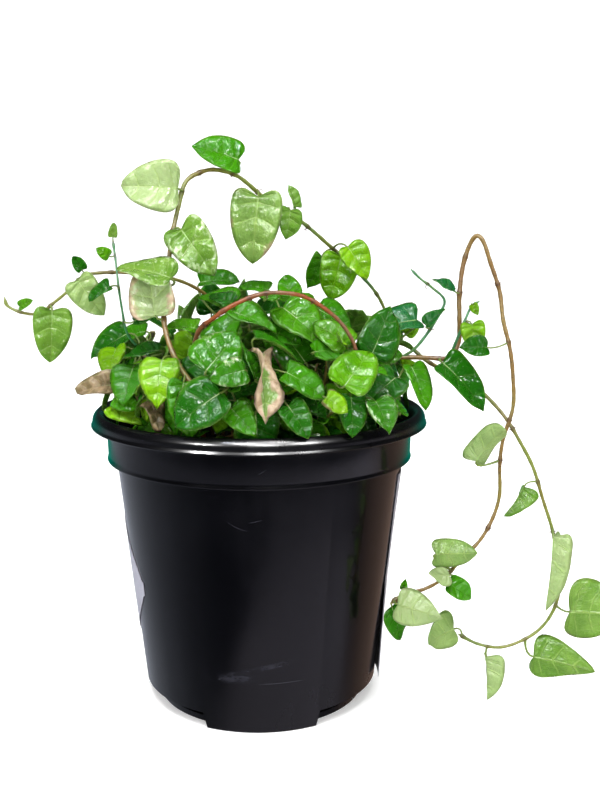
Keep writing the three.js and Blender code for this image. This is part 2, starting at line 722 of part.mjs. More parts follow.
// The route of a mat stem: up from the soil, then outwards to a point just under the mat's surface.
// The first ones stay low and follow the rim; the rest fill the middle and the back.
function matRoute(index, draw) {
  const low = index < RIM_STEMS;
  const share = (index - RIM_STEMS + 0.5) / (MAT_STEMS - RIM_STEMS);
  const arc = BACK_ARC + (360 - BACK_ARC) * share;
  const around = ((index * GOLDEN) % 1) - 0.5;
  const turn = (low ? (index * 360) / RIM_STEMS : 90 + arc * around) + 20 * (draw() - 0.5);
  const climb = low ? rad(12) : Math.asin(0.25 + 0.75 * share) * (0.93 + 0.14 * draw());
  const depth = 6 + 4 * draw();
  const reach = (MAT_RADIUS - depth) * Math.cos(climb);
  const top = MAT_FLOOR + 6 + (MAT_HEIGHT - depth - 6) * Math.sin(climb);
  const start = Math.min(37, reach * (0.5 + 0.3 * draw()) + 2);
  const sway = low ? 34 + 10 * draw() : 30 * (draw() - 0.5);
  const at = (r, bend, z) => [
    r * Math.cos(rad(turn + bend)),
    r * Math.sin(rad(turn + bend)),
    z,
  ];
  const ground = soilHeight(start);
  const rise = Math.max(top - ground, 10);
  return [
    at(start, 0, ground - ROOT_DEPTH),
    at(start, 0, ground + 3),
    at(start + (reach - start) * 0.35, sway * 0.3, ground + rise * 0.5),
    at(start + (reach - start) * 0.7, sway * 0.7, ground + rise * 0.85),
    at(reach, sway, ground + rise),
  ];
}

// Grow the hand-placed stems first, then their leaves, then the mat stems with theirs.
// A leaf that finds no free place in any of its attempts is left out.
const potSolid = pot();
const labelSolid = label();
const plug = soilPlug();
place(potSolid, "pot");
place(labelSolid, "wrap_label");
place(plug, "potting_soil");

const plants = [];

function addStem(name, radius, curves) {
  let tube = stemTube(curves[0], radius);
  for (const shoot of curves.slice(1)) {
    tube = tube.add(stemTube(shoot, radius * SHOOT_SHARE));
  }
  place(tube, name);
  plants.push({ name, radius, curves, solid: tube, leaves: 0 });
}

function addLeaf(plant, make) {
  for (let attempt = 0; attempt < ATTEMPTS; attempt += 1) {
    const made = make(attempt);
    const solid = leafSolid(made);
    const blade = leafSolid(made, 0, false);
    if (isClear(leafSolid(made, LEAF_GAP), plant.name) && isClearAtHome(solid, blade, plant.name)) {
      place(solid, plant.name, blade);
      plant.solid = plant.solid.add(solid);
      plant.leaves += 1;
      return;
    }
  }
}

for (const row of HAND_PLACED) {
  addStem(row.name, row.radius, [row.route, ...(row.shoots ?? [])].map(curveOf));
}
HAND_PLACED.forEach((row, s) => {
  row.leaves.forEach((each, k) => {
    const plant = plants[s];
    addLeaf(plant, (n) => handLeaf(each, plant.curves, drawsFor(s, k, n), n));
  });
});

for (let i = 0; i < MAT_STEMS; i += 1) {
  const s = HAND_PLACED.length + i;
  for (let attempt = 0; attempt < ATTEMPTS; attempt += 1) {
    const stem = curveOf(matRoute(i, drawsFor(s, 99, attempt)));
    if (isClear(stemTube(stem, THIN_STEM + GAP), "potting_soil")) {
      addStem(`mat_stem_${i + 1}`, THIN_STEM, [stem]);
      break;
    }
  }
}
for (let s = HAND_PLACED.length; s < plants.length; s += 1) {
  const plant = plants[s];
  const long = plant.curves[0].curve.getLength();
  const number = Number(plant.name.split("_")[2]) - 1 + HAND_PLACED.length;
  const count = Math.ceil((long + NODE_SPACING - FIRST_NODE) / NODE_SPACING);
  for (let k = 0; k < count; k += 1) {
    const along = Math.min(1, (FIRST_NODE + k * NODE_SPACING) / long);
    addLeaf(plant, (n) => matLeaf(plant.curves, along, k, drawsFor(number, k, n), n));
  }
}
const grown = plants.filter(({ leaves }) => leaves > 0);

const fig = new THREE.Group();
fig.add(meshOf("pot", potSolid, { color: 0x17171c, roughness: 0.25, metalness: 0 }));
fig.add(meshOf("potting_soil", soil(plug, grown), { color: 0x33251b, roughness: 1, metalness: 0 }));
fig.add(meshOf("wrap_label", labelSolid, { color: 0xf1f0f6, roughness: 0.5, metalness: 0 }));
for (const { name, solid } of grown) {
  const trailing = ["tall_arch", "big_arch", "second_trail", "left_runner"].includes(name);
  const color = trailing ? 0x8fb467 : 0x3f8a1f;
  fig.add(meshOf(name, solid, { color, roughness: 0.35, metalness: 0 }));
}

export default fig;
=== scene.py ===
"""Looks of a creeping fig in a black nursery pot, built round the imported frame.

Routes, leaf places and sizes are in millimetres, as on the plant, and become metres when a mesh is made.
+Z is up and the front of the pot faces -Y. Directions are [bearing, rise] in degrees.
"""

import bisect
import math

import bmesh
import bpy
import numpy as np
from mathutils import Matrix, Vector, kdtree
from mathutils.bvhtree import BVHTree


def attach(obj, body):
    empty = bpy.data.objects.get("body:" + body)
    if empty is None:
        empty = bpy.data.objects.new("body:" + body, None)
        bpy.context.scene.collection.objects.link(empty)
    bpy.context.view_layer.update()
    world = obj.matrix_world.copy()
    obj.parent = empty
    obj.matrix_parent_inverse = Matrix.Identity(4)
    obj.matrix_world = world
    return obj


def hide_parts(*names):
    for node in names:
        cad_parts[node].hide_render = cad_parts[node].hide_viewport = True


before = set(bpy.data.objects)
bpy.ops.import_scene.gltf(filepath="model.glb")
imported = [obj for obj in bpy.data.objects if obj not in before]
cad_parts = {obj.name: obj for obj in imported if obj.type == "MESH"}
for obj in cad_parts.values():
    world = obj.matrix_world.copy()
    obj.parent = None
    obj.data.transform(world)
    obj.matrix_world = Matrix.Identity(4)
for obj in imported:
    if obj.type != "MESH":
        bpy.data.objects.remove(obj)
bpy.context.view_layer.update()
scene = bpy.context.scene
MM = 0.001


# Camera: an eye-level view from the front, a little above the rim and looking down on the pot
camera = bpy.data.objects.new("camera", bpy.data.cameras.new("camera"))
scene.collection.objects.link(camera)
camera.location = (0, -0.3305, 0.1547)
camera.rotation_euler = (math.radians(80.3), 0, math.radians(-2.31))
camera.data.sensor_width = 36
camera.data.lens = 45.57
camera.data.clip_start = 0.01
scene.camera = camera


# Studio: a pale floor that curves up into a wall all round, under soft lamps.
# A few small lamps high up give the wet-looking glints on the leaves and the pot's lip.
def node(tree, kind, inputs=None, **settings):
    """A node with its settings and inputs; an input is a value or the socket that feeds it."""
    made = tree.nodes.new(kind)
    for key, value in settings.items():
        setattr(made, key, value)
    for key, value in (inputs or {}).items():
        socket = made.inputs[key]
        if isinstance(value, bpy.types.NodeSocket):
            tree.links.new(value, socket)
        else:
            socket.default_value = value
    return made


def mesh_object(name, vertices, faces, edges=()):
    mesh = bpy.data.meshes.new(name)
    mesh.from_pydata([tuple(v) for v in vertices], list(edges), faces)
    made = bpy.data.objects.new(name, mesh)
    scene.collection.objects.link(made)
    return made


def smooth(piece, crease=40):
    """Smooth shading with sharp edges kept where two faces meet at more than the crease angle."""
    shape = bmesh.new()
    shape.from_mesh(piece.data)
    for face in shape.faces:
        face.smooth = True
    for edge in shape.edges:
        if len(edge.link_faces) == 2:
            edge.smooth = edge.calc_face_angle(0) < math.radians(crease)
    shape.to_mesh(piece.data)
    shape.free()


def turned_faces(rings, sides, closed=True):
    """Quads between rings of equal numbers of points, facing away from the axis as rings go up."""
    faces = []
    for ring in range(rings - 1):
        for i in range(sides if closed else sides - 1):
            j = (i + 1) % sides
            faces.append((ring * sides + i, ring * sides + j, (ring + 1) * sides + j, (ring + 1) * sides + i))
    return faces


def studio_material(name, colour):
    material = bpy.data.materials.new(name)
    material.use_nodes = True
    shader = material.node_tree.nodes["Principled BSDF"]
    shader.inputs["Base Color"].default_value = (*colour, 1)
    shader.inputs["Roughness"].default_value = 0.9
    shader.inputs["Specular IOR Level"].default_value = 0.1
    shader.inputs["Emission Color"].default_value = (1, 1, 1, 1)
    shader.inputs["Emission Strength"].default_value = 0.24
    return material


STUDIO_SIDES = 96
studio_profile = [(0.02, 0), (0.3, 0), (0.7, 0), (1.1, 0)]
studio_profile += [
    (1.1 + 0.5 * math.sin(math.radians(a)), 0.5 - 0.5 * math.cos(math.radians(a))) for a in range(10, 91, 10)
]
studio_profile += [(1.6, 1.2), (1.6, 2.2)]
studio_points = [
    (r * math.cos(2 * math.pi * k / STUDIO_SIDES), r * math.sin(2 * math.pi * k / STUDIO_SIDES), z)
    for r, z in studio_profile
    for k in range(STUDIO_SIDES)
]
floor = mesh_object(
    "studio_floor",
    studio_points,
    [face[::-1] for face in turned_faces(len(studio_profile), STUDIO_SIDES)]
    + [tuple(range(STUDIO_SIDES))],
)
smooth(floor)
floor.data.materials.append(studio_material("studio_paper", (0.93, 0.93, 0.93)))
floor.visible_glossy = False

scene.world = bpy.data.worlds.new("studio_air")
scene.world.use_nodes = True
air = scene.world.node_tree
# Glossy faces mirror a dim room: dark before the pot with a paler band further off, grey to its right,
# pale to its left and brown behind it to the right, with green from more plants level with its lip
air_way = node(air, "ShaderNodeSeparateXYZ", {0: node(air, "ShaderNodeTexCoord").outputs["Generated"]}).outputs


def air_sum(operation, *values):
    made = node(air, "ShaderNodeMath", dict(enumerate(values)), operation=operation)
    return made.outputs[0]


def air_step(value, low, high):
    """The value mapped smoothly from low..high to 0..1."""
    return node(air, "ShaderNodeMapRange", {0: value, 1: low, 2: high}, interpolation_type="SMOOTHSTEP").outputs[0]


bearing = air_sum("ARCTAN2", air_way["X"], air_sum("MULTIPLY", air_way["Y"], -1.0))
slanted = air_sum("MULTIPLY_ADD", air_sum("ADD", air_way["Z"], 0.6085), -10.0, bearing)
downward = air_step(air_way["Z"], 0.2, -0.02)
sideways = air_step(air_sum("ABSOLUTE", bearing), 2.0, 2.5)
band = air_sum("MULTIPLY", air_step(air_way["Z"], -0.345, -0.3), air_step(air_way["Z"], -0.03, -0.12))
patches = [
    (air_sum("MULTIPLY", air_step(slanted, 0.25, 0.55), air_step(bearing, 1.9, 1.3)), (0.78, 0.74, 0.84)),
    (band, (0.42, 0.42, 0.5)),
    (air_sum("MULTIPLY", band, air_step(bearing, -0.6, 1.4)), (1.1, 1.05, 1.2)),
    (air_step(bearing, -0.5, -2.3), (0.5, 0.53, 0.6)),
    (air_step(bearing, 1.4, 2.0), (0.38, 0.27, 0.22)),
    (air_sum("MULTIPLY", air_step(air_way["Z"], -0.25, -0.22), sideways), (0.0, 0.36, 0.26)),
]
room = (0.07, 0.075, 0.09, 1)
for share, tint in patches:
    blend = node(air, "ShaderNodeMix", {0: share, 7: (*tint, 1)}, data_type="RGBA")
    if isinstance(room, tuple):
        blend.inputs[6].default_value = room
    else:
        air.links.new(room, blend.inputs[6])
    room = blend.outputs[2]
mirror = node(air, "ShaderNodeMix", {0: downward, 6: (0.07, 0.07, 0.075, 1), 7: room}, data_type="RGBA")
is_mirror = node(air, "ShaderNodeLightPath").outputs["Is Glossy Ray"]
seen = node(air, "ShaderNodeMix", {0: is_mirror, 6: (0.22, 0.22, 0.22, 1), 7: mirror.outputs[2]}, data_type="RGBA")
air.links.new(seen.outputs[2], air.nodes["Background"].inputs["Color"])
air.nodes["Background"].inputs["Strength"].default_value = 1


def lamp(name, place, aim, size, power, colour=(1, 1, 1), height=None, mirrored=True):
    """An area lamp at a place, aimed at a point; a height makes it a strip."""
    data = bpy.data.lights.new(name, "AREA")
    data.shape = "RECTANGLE" if height else "DISK"
    data.size = size
    if height:
        data.size_y = height
    data.energy = power
    data.color = colour
    made = bpy.data.objects.new(name, data)
    made.location = place
    made.rotation_euler = (Vector(aim) - Vector(place)).to_track_quat("-Z", "Y").to_euler()
    made.visible_camera = False
    made.visible_glossy = mirrored
    made.visible_diffuse = not mirrored
    scene.collection.objects.link(made)
    return made


lamp("lamp_overhead", (-0.1, -0.35, 0.95), (0, 0, 0.12), 0.5, 6.6, mirrored=False)
lamp("lamp_left", (-0.75, -0.4, 0.35), (0, 0, 0.07), 0.3, 0.6, height=0.5, mirrored=False)
lamp("lamp_right", (0.8, -0.3, 0.35), (0, 0, 0.07), 0.22, 0.5, height=0.5, mirrored=False)
lamp("lamp_back", (0.1, 0.8, 0.7), (0, 0, 0.12), 0.5, 1.9, mirrored=False)
lamp("lamp_tube_near", (0.14, -0.42, 0.8), (0, 0, 0.12), 0.17, 3, height=0.03)
lamp("lamp_tube_far", (0.14, -0.27, 0.85), (0, 0, 0.12), 0.2, 2.3, (1, 0.95, 0.97), height=0.03)
lamp("lamp_tube_left", (-0.3, -0.35, 0.75), (0, 0, 0.12), 0.08, 3.5, (0.8, 0.86, 1), height=0.03)
for k, spot in enumerate([(0.05, -0.65, 0.6), (-0.12, -0.55, 0.78), (0.34, -0.5, 0.62), (-0.42, -0.5, 0.5)]):
    lamp(f"lamp_glint_{k + 1}", spot, (0, 0, 0.12), 0.02, 7)
scene.view_settings.view_transform = "Standard"
scene.view_settings.look = "Medium High Contrast"


# Pot: one thin injection-moulded piece of black polypropylene, with a rolled lip, a collar, a tapering
# wall and three wide feet. It stands free; the soil and the plant only rest in it.
POT_HEIGHT = 96.5
RIM_RADIUS = 55
COLLAR_RADIUS = 49.8
COLLAR_FOOT = 80
WALL_TOP_RADIUS = 47
WALL_FOOT_RADIUS = 38.3
WALL = 1.2
FLOOR = 1.8
FEET = 3
NOTCH_HEIGHT = 5.2
NOTCH_ANGLE = 66
NOTCH_INNER_RADIUS = 34.5
POT_SIDES = 168


def wall_radius(z):
    return WALL_FOOT_RADIUS + (WALL_TOP_RADIUS - WALL_FOOT_RADIUS) * z / COLLAR_FOOT


def filleted(profile, steps=4):
    """The profile with each corner that names a fillet radius rounded off: [radius, height, fillet]."""
    points = []
    for k, (r, z, fillet) in enumerate(profile):
        corner = Vector((r, z))
        if not fillet:
            points.append(corner)
            continue
        before = (Vector(profile[k - 1][:2]) - corner).normalized() * fillet
        after = (Vector(profile[k + 1][:2]) - corner).normalized() * fillet
        for i in range(steps + 1):
            t = i / steps
            points.append(corner + before * (1 - t) ** 2 + after * t**2)
    return points


def lathed(name, profile, sides):
    """A closed turned solid from a profile that starts and ends on the axis."""
    inner = profile[1:-1]
    vertices = [
        (p.x * MM * math.cos(2 * math.pi * k / sides), p.x * MM * math.sin(2 * math.pi * k / sides), p.y * MM)
        for p in inner
        for k in range(sides)
    ]
    faces = turned_faces(len(inner), sides)
    first = len(vertices)
    vertices += [(0, 0, profile[0].y * MM), (0, 0, profile[-1].y * MM)]
    top = (len(inner) - 1) * sides
    for k in range(sides):
        j = (k + 1) % sides
        faces += [(first, j, k), (first + 1, top + k, top + j)]
    return mesh_object(name, vertices, faces)


rim_foot = POT_HEIGHT - 5
pot_profile = filleted(
    [
        (0, 0, 0),
        (WALL_FOOT_RADIUS - 3, 0, 0),
        (WALL_FOOT_RADIUS, 0, 0.5),
        (wall_radius(COLLAR_FOOT), COLLAR_FOOT, 0.35),
        (COLLAR_RADIUS + 0.3, COLLAR_FOOT + 0.6, 0.35),
        (COLLAR_RADIUS - 0.1, COLLAR_FOOT + 1.9, 0.5),
        (COLLAR_RADIUS + 0.2, rim_foot, 0.6),
        (RIM_RADIUS - 0.4, rim_foot, 0.2),
        (RIM_RADIUS, rim_foot + 0.35, 0.2),
        (RIM_RADIUS - 0.5, rim_foot + 1.3, 0.35),
        (RIM_RADIUS - 0.6, POT_HEIGHT - 2.2, 0.6),
        (RIM_RADIUS - 1.4, POT_HEIGHT - 0.9, 0.6),
        (RIM_RADIUS - 2.6, POT_HEIGHT, 0.9),
        (RIM_RADIUS - 4.2, POT_HEIGHT - 1.2, 0.8),
        (COLLAR_RADIUS - WALL, rim_foot - 2, 1.0),
        (COLLAR_RADIUS - WALL, COLLAR_FOOT + 1.1, 0.6),
        (wall_radius(COLLAR_FOOT) - WALL, COLLAR_FOOT - 0.4, 0.6),
        (wall_radius(FLOOR) - WALL, FLOOR, 0.8),
        (0, FLOOR, 0),
    ]
)
pot = lathed("pot_moulded", pot_profile, POT_SIDES)

# The notches are cut with three bent blocks whose ends lean a little, as a mould needs
for k in range(FEET):
    middle = -90 + 360 / FEET * (k + 0.5)
    columns = 24
    corners = []
    for i in range(columns + 1):
        share = 2 * i / columns - 1
        for z, half in ((-1, NOTCH_ANGLE / 2 + 1.2), (NOTCH_HEIGHT, NOTCH_ANGLE / 2 - 1.2)):
            angle = math.radians(middle + share * half)
            for r in (NOTCH_INNER_RADIUS, RIM_RADIUS):
                corners.append((r * MM * math.cos(angle), r * MM * math.sin(angle), z * MM))
    sides = []
    for i in range(columns):
        a, b = 4 * i, 4 * i + 4
        sides += [(a, b, b + 1, a + 1), (a + 2, a + 3, b + 3, b + 2)]
        sides += [(a + 1, b + 1, b + 3, a + 3), (a, a + 2, b + 2, b)]
    sides += [(0, 1, 3, 2), (4 * columns, 4 * columns + 2, 4 * columns + 3, 4 * columns + 1)]
    cutter = mesh_object("notch_cutter", corners, sides)
    cut = pot.modifiers.new("notch", "BOOLEAN")
    cut.object = cutter
    cut.operation = "DIFFERENCE"
    cut.solver = "EXACT"
    moulded = bpy.data.meshes.new_from_object(pot.evaluated_get(bpy.context.evaluated_depsgraph_get()))
    pot.modifiers.clear()
    pot.data = moulded
    bpy.data.objects.remove(cutter)
smooth(pot, crease=32)


def mixed(tree, factor, first, second):
    """Colour between first and second; each is a colour or a socket."""
    made = node(tree, "ShaderNodeMix", data_type="RGBA")
    for socket, value in ((made.inputs[0], factor), (made.inputs[6], first), (made.inputs[7], second)):
        if isinstance(value, bpy.types.NodeSocket):
            tree.links.new(value, socket)
        elif socket.type == "RGBA":
            socket.default_value = (*value, 1)
        else:
            socket.default_value = value
    return made.outputs[2]


def maths(tree, operation, *values, clamp=False):
    """One number from others; each is a number or a socket."""
    made = node(tree, "ShaderNodeMath", operation=operation, use_clamp=clamp)
    for socket, value in zip(made.inputs, values):
        if isinstance(value, bpy.types.NodeSocket):
            tree.links.new(value, socket)
        else:
            socket.default_value = value
    return made.outputs[0]


def between(tree, value, low, high, to_low=0.0, to_high=1.0):
    """The value mapped smoothly from low..high to to_low..to_high and held there outside."""
    made = node(tree, "ShaderNodeMapRange", interpolation_type="SMOOTHSTEP")
    for socket, each in zip(made.inputs, (value, low, high, to_low, to_high)):
        if isinstance(each, bpy.types.NodeSocket):
            tree.links.new(each, socket)
        else:
            socket.default_value = each
    return made.outputs[0]


def noise(tree, place, scale, detail=3.0, roughness=0.5, stretch=(1, 1, 1), shift=(0, 0, 0)):
    mapping = node(tree, "ShaderNodeMapping", {"Vector": place, "Scale": stretch, "Location": shift})
    texture = node(
        tree,
        "ShaderNodeTexNoise",
        {"Vector": mapping.outputs[0], "Scale": scale, "Detail": detail, "Roughness": roughness},
    )
    return texture.outputs["Fac"]


def surface(name, **settings):
    """A new material, its tree, its shader and the object coordinates that its patterns read."""
    material = bpy.data.materials.new(name)
    material.use_nodes = True
    tree = material.node_tree
    shader = tree.nodes["Principled BSDF"]
    for key, value in settings.items():
        shader.inputs[key.replace("_", " ")].default_value = value
    place = node(tree, "ShaderNodeTexCoord").outputs["Object"]
    return material, tree, shader, place


def bumped(tree, shader, height, strength, distance):
    made = node(tree, "ShaderNodeBump", {"Height": height, "Strength": strength, "Distance": distance})
    tree.links.new(made.outputs[0], shader.inputs["Normal"])


# Black glossy plastic: a thin haze of dust dulls it in patches, and it is scuffed and scratched in front
pot_plastic, tree, shader, place = surface("pot_black_plastic")
shader.inputs["IOR"].default_value = 1.46
cloud = noise(tree, place, 28, detail=5, roughness=0.62)
grain = noise(tree, place, 900, detail=2)
drips = noise(tree, place, 60, detail=3, stretch=(1, 1, 0.12))
apart = node(tree, "ShaderNodeSeparateXYZ", {"Vector": place})
across, height = apart.outputs["X"], apart.outputs["Z"]
front = between(tree, apart.outputs["Y"], -0.02, -0.035)


def scuff(slope, level, start, end, thick, sag=0.0):
    """A worn line on the front of the pot, straight or sagging, that fades at both ends."""
    off = maths(tree, "MULTIPLY_ADD", across, -slope, maths(tree, "SUBTRACT", height, level))
    left = maths(tree, "SUBTRACT", across, end)
    off = maths(tree, "MULTIPLY_ADD", maths(tree, "MULTIPLY", left, left), -sag, off)
    off = maths(tree, "ABSOLUTE", off)
    line = between(tree, off, thick, thick * 0.3)
    soft = (end - start) * 0.35
    ends = maths(tree, "MULTIPLY", between(tree, across, start, start + soft), between(tree, across, end, end - soft))
    return maths(tree, "MULTIPLY", maths(tree, "MULTIPLY", line, ends), front)


worn = noise(tree, place, 260, detail=4, roughness=0.7, stretch=(0.35, 1, 1))
rubbed = maths(tree, "MAXIMUM", scuff(0.226, 0.0222, -0.022, 0.014, 0.0013), scuff(0.08, 0.0195, -0.02, 0.002, 0.0022))
rubbed = maths(tree, "MULTIPLY", rubbed, between(tree, worn, 0.36, 0.72))
scratched = scuff(0.02, 0.017, -0.003, 0.015, 0.0002)
for arc in ((0.0, 0.0672, -0.0105, -0.003, 0.00018, 60), (0.25, 0.0705, -0.004, 0.001, 0.00018), (0.9, 0.085, -0.001, 0.002, 0.0002, 120)):
    scratched = maths(tree, "MAXIMUM", scratched, scuff(*arc))
film = between(tree, maths(tree, "MULTIPLY_ADD", drips, 0.5, maths(tree, "MULTIPLY", cloud, 0.5)), 0.44, 0.66)
low = between(tree, height, 0.03, 0.004)
colour = mixed(tree, film, (0.0016, 0.0016, 0.0028), (0.0036, 0.0036, 0.0056))
colour = mixed(tree, maths(tree, "MULTIPLY", rubbed, 0.24), colour, (0.09, 0.093, 0.13))
colour = mixed(tree, maths(tree, "MULTIPLY", scratched, 0.2), colour, (0.14, 0.14, 0.17))
tree.links.new(colour, shader.inputs["Base Color"])
rough = maths(tree, "MULTIPLY_ADD", film, 0.1, 0.13)
rough = maths(tree, "MULTIPLY_ADD", rubbed, 0.22, rough)
rough = maths(tree, "MULTIPLY_ADD", low, 0.1, rough)
rough = maths(tree, "ADD", rough, between(tree, height, 0.0885, 0.0915, 0.0, 0.12), clamp=True)
tree.links.new(rough, shader.inputs["Roughness"])
ripple = maths(tree, "MULTIPLY_ADD", grain, 0.02, noise(tree, place, 22, detail=1))
bumped(tree, shader, ripple, 0.3, 0.0006)
pot.data.materials.append(pot_plastic)
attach(pot, "root")
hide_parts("pot")


# Label: a plain white coated paper sleeve wrapped round the back of the pot, glued along its middle.
# One end is cut to a blunt point; at the other the lower corner has come loose. Nothing is printed on it.
LABEL_LOW = 6
LABEL_HIGH = 76
LABEL_START = -18
LABEL_END = 210
LABEL_POINT = 54
LABEL_LIFT = 1.8
LABEL_GAP = 0.06
LABEL_THICKNESS = 0.22
LABEL_COLUMNS = 132
LABEL_ROWS = 24


def label_point(column, row, out):
    """A point of the sleeve, from the loose end round to the pointed end and from bottom to top."""
    bearing = LABEL_START + (LABEL_END - LABEL_START) * column / LABEL_COLUMNS
    into_point = max(0, (bearing - (LABEL_END - LABEL_POINT)) / LABEL_POINT)
    half = (LABEL_HIGH - LABEL_LOW) / 2 * max(0.06, (1 - into_point) ** 0.74)
    share = 2 * row / LABEL_ROWS - 1
    z = (LABEL_LOW + LABEL_HIGH) / 2 + half * share
    loose = LABEL_LIFT * max(0, 1 - (bearing - LABEL_START) / 16) * max(0, -share) ** 0.8
    cockle = 0.1 + 0.1 * math.sin(bearing * 0.21 + z * 0.05) * math.sin(z * 0.11 + bearing * 0.04)
    r = wall_radius(z) + LABEL_GAP + loose + cockle * (1 - into_point) + out
    return (r * MM * math.cos(math.radians(bearing)), r * MM * math.sin(math.radians(bearing)), z * MM)


rows = LABEL_ROWS + 1
vertices = [
    label_point(column, row, out)
    for out in (0, LABEL_THICKNESS)
    for column in range(LABEL_COLUMNS + 1)
    for row in range(rows)
]
layer = (LABEL_COLUMNS + 1) * rows
faces = []
for column in range(LABEL_COLUMNS):
    for row in range(LABEL_ROWS):
        a = column * rows + row
        b = a + rows
        faces += [(a, a + 1, b + 1, b), (layer + a, layer + b, layer + b + 1, layer + a + 1)]
    for edge, flip in ((column * rows, False), (column * rows + LABEL_ROWS, True)):
        face = (edge, edge + rows, layer + edge + rows, layer + edge)
        faces.append(face[::-1] if flip else face)
for column, flip in ((0, True), (LABEL_COLUMNS, False)):
    for row in range(LABEL_ROWS):
        a = column * rows + row
        face = (a, a + 1, layer + a + 1, layer + a)
        faces.append(face[::-1] if flip else face)
label = mesh_object("label_sleeve", vertices, faces)
smooth(label, crease=50)
label_paper, tree, shader, place = surface("label_white_paper")
cloud = noise(tree, place, 35, detail=4)
fibre = noise(tree, place, 1400, detail=3)
paper = mixed(tree, cloud, (0.56, 0.56, 0.59), (0.64, 0.64, 0.66))
# Both ends are painted darker as painted shade: the pointed one at the left and the loose one, which comes furthest
# forward
spot = node(tree, "ShaderNodeSeparateXYZ", {"Vector": place}).outputs
pointed = between(tree, spot["X"], -0.026, -0.039)
loose_end = between(tree, spot["Y"], -0.006, -0.012)
painted_end_shade = maths(tree, "MAXIMUM", pointed, loose_end)
tree.links.new(mixed(tree, painted_end_shade, paper, (0.33, 0.325, 0.38)), shader.inputs["Base Color"])
tree.links.new(maths(tree, "MULTIPLY_ADD", cloud, 0.2, 0.32), shader.inputs["Roughness"])
bumped(tree, shader, fibre, 0.12, 0.0002)
label.data.materials.append(label_paper)
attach(label, "root")
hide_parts("wrap_label")


# Soil: dark moist peat that fills the pot to a little below the lip, with crumbs of bark and a few
# white grains of perlite on top. It lies loose; the stems stand in it.
SOIL_MIDDLE = 88
SOIL_EDGE = 85
SOIL_RINGS = 34
SOIL_SIDES = 120


def soil_height(r):
    return SOIL_EDGE + (SOIL_MIDDLE - SOIL_EDGE) * (1 - (r / WALL_TOP_RADIUS) ** 2)


def clods(x, y):
    """Unevenness of the soil's top in millimetres, never above its even crown by much."""
    slow = math.sin(x * 0.23 + 1.3) * math.sin(y * 0.29 + 0.4) + math.sin(x * 0.11 - y * 0.17)
    fast = math.sin(x * 0.9 + y * 0.5) * math.sin(y * 1.1 - x * 0.35) + math.sin(x * 1.7) * math.sin(y * 1.9)
    return 0.35 * slow + 0.28 * fast - 0.5


soil_edge = wall_radius(COLLAR_FOOT) - WALL - 0.3
soil_foot = FLOOR + 0.3
outline = [(0, soil_foot), (NOTCH_INNER_RADIUS - 1, soil_foot)]
outline += [(wall_radius(NOTCH_HEIGHT) - WALL - 0.3, NOTCH_HEIGHT + 0.3), (soil_edge, COLLAR_FOOT)]
outline += [
    (soil_edge * (1 - i / SOIL_RINGS), soil_height(soil_edge * (1 - i / SOIL_RINGS))) for i in range(SOIL_RINGS + 1)
]
soil = lathed("soil_peat", [Vector(p) for p in outline], SOIL_SIDES)
for vertex in soil.data.vertices:
    x, y, z = (c / MM for c in vertex.co)
    if z > COLLAR_FOOT + 1:
        vertex.co.z += clods(x, y) * MM * min(1, max(0, soil_edge + 0.1 - math.hypot(x, y)) / 2)
smooth(soil, crease=80)


def tree_of(name, inputs):
    """An empty geometry tree with named inputs, its way in and its way out."""
    tree = bpy.data.node_groups.new(name, "GeometryNodeTree")
    tree.interface.new_socket("Geometry", in_out="INPUT", socket_type="NodeSocketGeometry")
    for label_text, kind, value in inputs:
        socket = tree.interface.new_socket(label_text, in_out="INPUT", socket_type=kind)
        if value is not None:
            socket.default_value = value
    tree.interface.new_socket("Geometry", in_out="OUTPUT", socket_type="NodeSocketGeometry")
    return tree, tree.nodes.new("NodeGroupInput").outputs, tree.nodes.new("NodeGroupOutput").inputs


def grown(piece, tree, values):
    """The piece's mesh as its tree makes it, kept as a plain mesh."""
    modifier = piece.modifiers.new(tree.name, "NODES")
    modifier.node_group = tree
    for item in tree.interface.items_tree:
        if item.in_out == "INPUT" and item.name in values:
            modifier[item.identifier] = values[item.name]
    depsgraph = bpy.context.evaluated_depsgraph_get()
    made = bpy.data.meshes.new_from_object(piece.evaluated_get(depsgraph), depsgraph=depsgraph)
    piece.modifiers.clear()
    piece.data = made


# Crumbs are strewn over the top: each is a small uneven lump, turned and sized by a seeded draw
crumb_tree, given, out = tree_of(
    "strewn_crumbs",
    [
        ("Spacing", "NodeSocketFloat", 0.0011),
        ("Smallest", "NodeSocketFloat", 0.0003),
        ("Largest", "NodeSocketFloat", 0.0011),
        ("Flatness", "NodeSocketFloat", 0.6),
        ("Seed", "NodeSocketInt", 4),
        ("Finish", "NodeSocketMaterial", None),
    ],
)
facing = node(crumb_tree, "ShaderNodeSeparateXYZ", {0: node(crumb_tree, "GeometryNodeInputNormal").outputs[0]})
upward = node(
    crumb_tree, "FunctionNodeCompare", {0: facing.outputs["Z"], 1: 0.5}, data_type="FLOAT", operation="GREATER_THAN"
)
spread = node(
    crumb_tree,
    "GeometryNodeDistributePointsOnFaces",
    {
        "Mesh": given["Geometry"],
        "Selection": upward.outputs[0],
        "Distance Min": given["Spacing"],
        "Density Max": 400000.0,
        "Seed": given["Seed"],
    },
    distribute_method="POISSON",
)
lump = node(crumb_tree, "GeometryNodeMeshIcoSphere", {"Radius": 1.0, "Subdivisions": 1})
turn = node(
    crumb_tree,
    "FunctionNodeRandomValue",
    {1: (6.28, 6.28, 6.28), "Seed": given["Seed"]},
    data_type="FLOAT_VECTOR",
)
size = node(
    crumb_tree,
    "FunctionNodeRandomValue",
    {2: given["Smallest"], 3: given["Largest"], "Seed": given["Seed"]},
    data_type="FLOAT",
)
flat = maths(crumb_tree, "MULTIPLY", size.outputs[1], given["Flatness"])
shape = node(crumb_tree, "ShaderNodeCombineXYZ", {0: size.outputs[1], 1: flat, 2: flat})
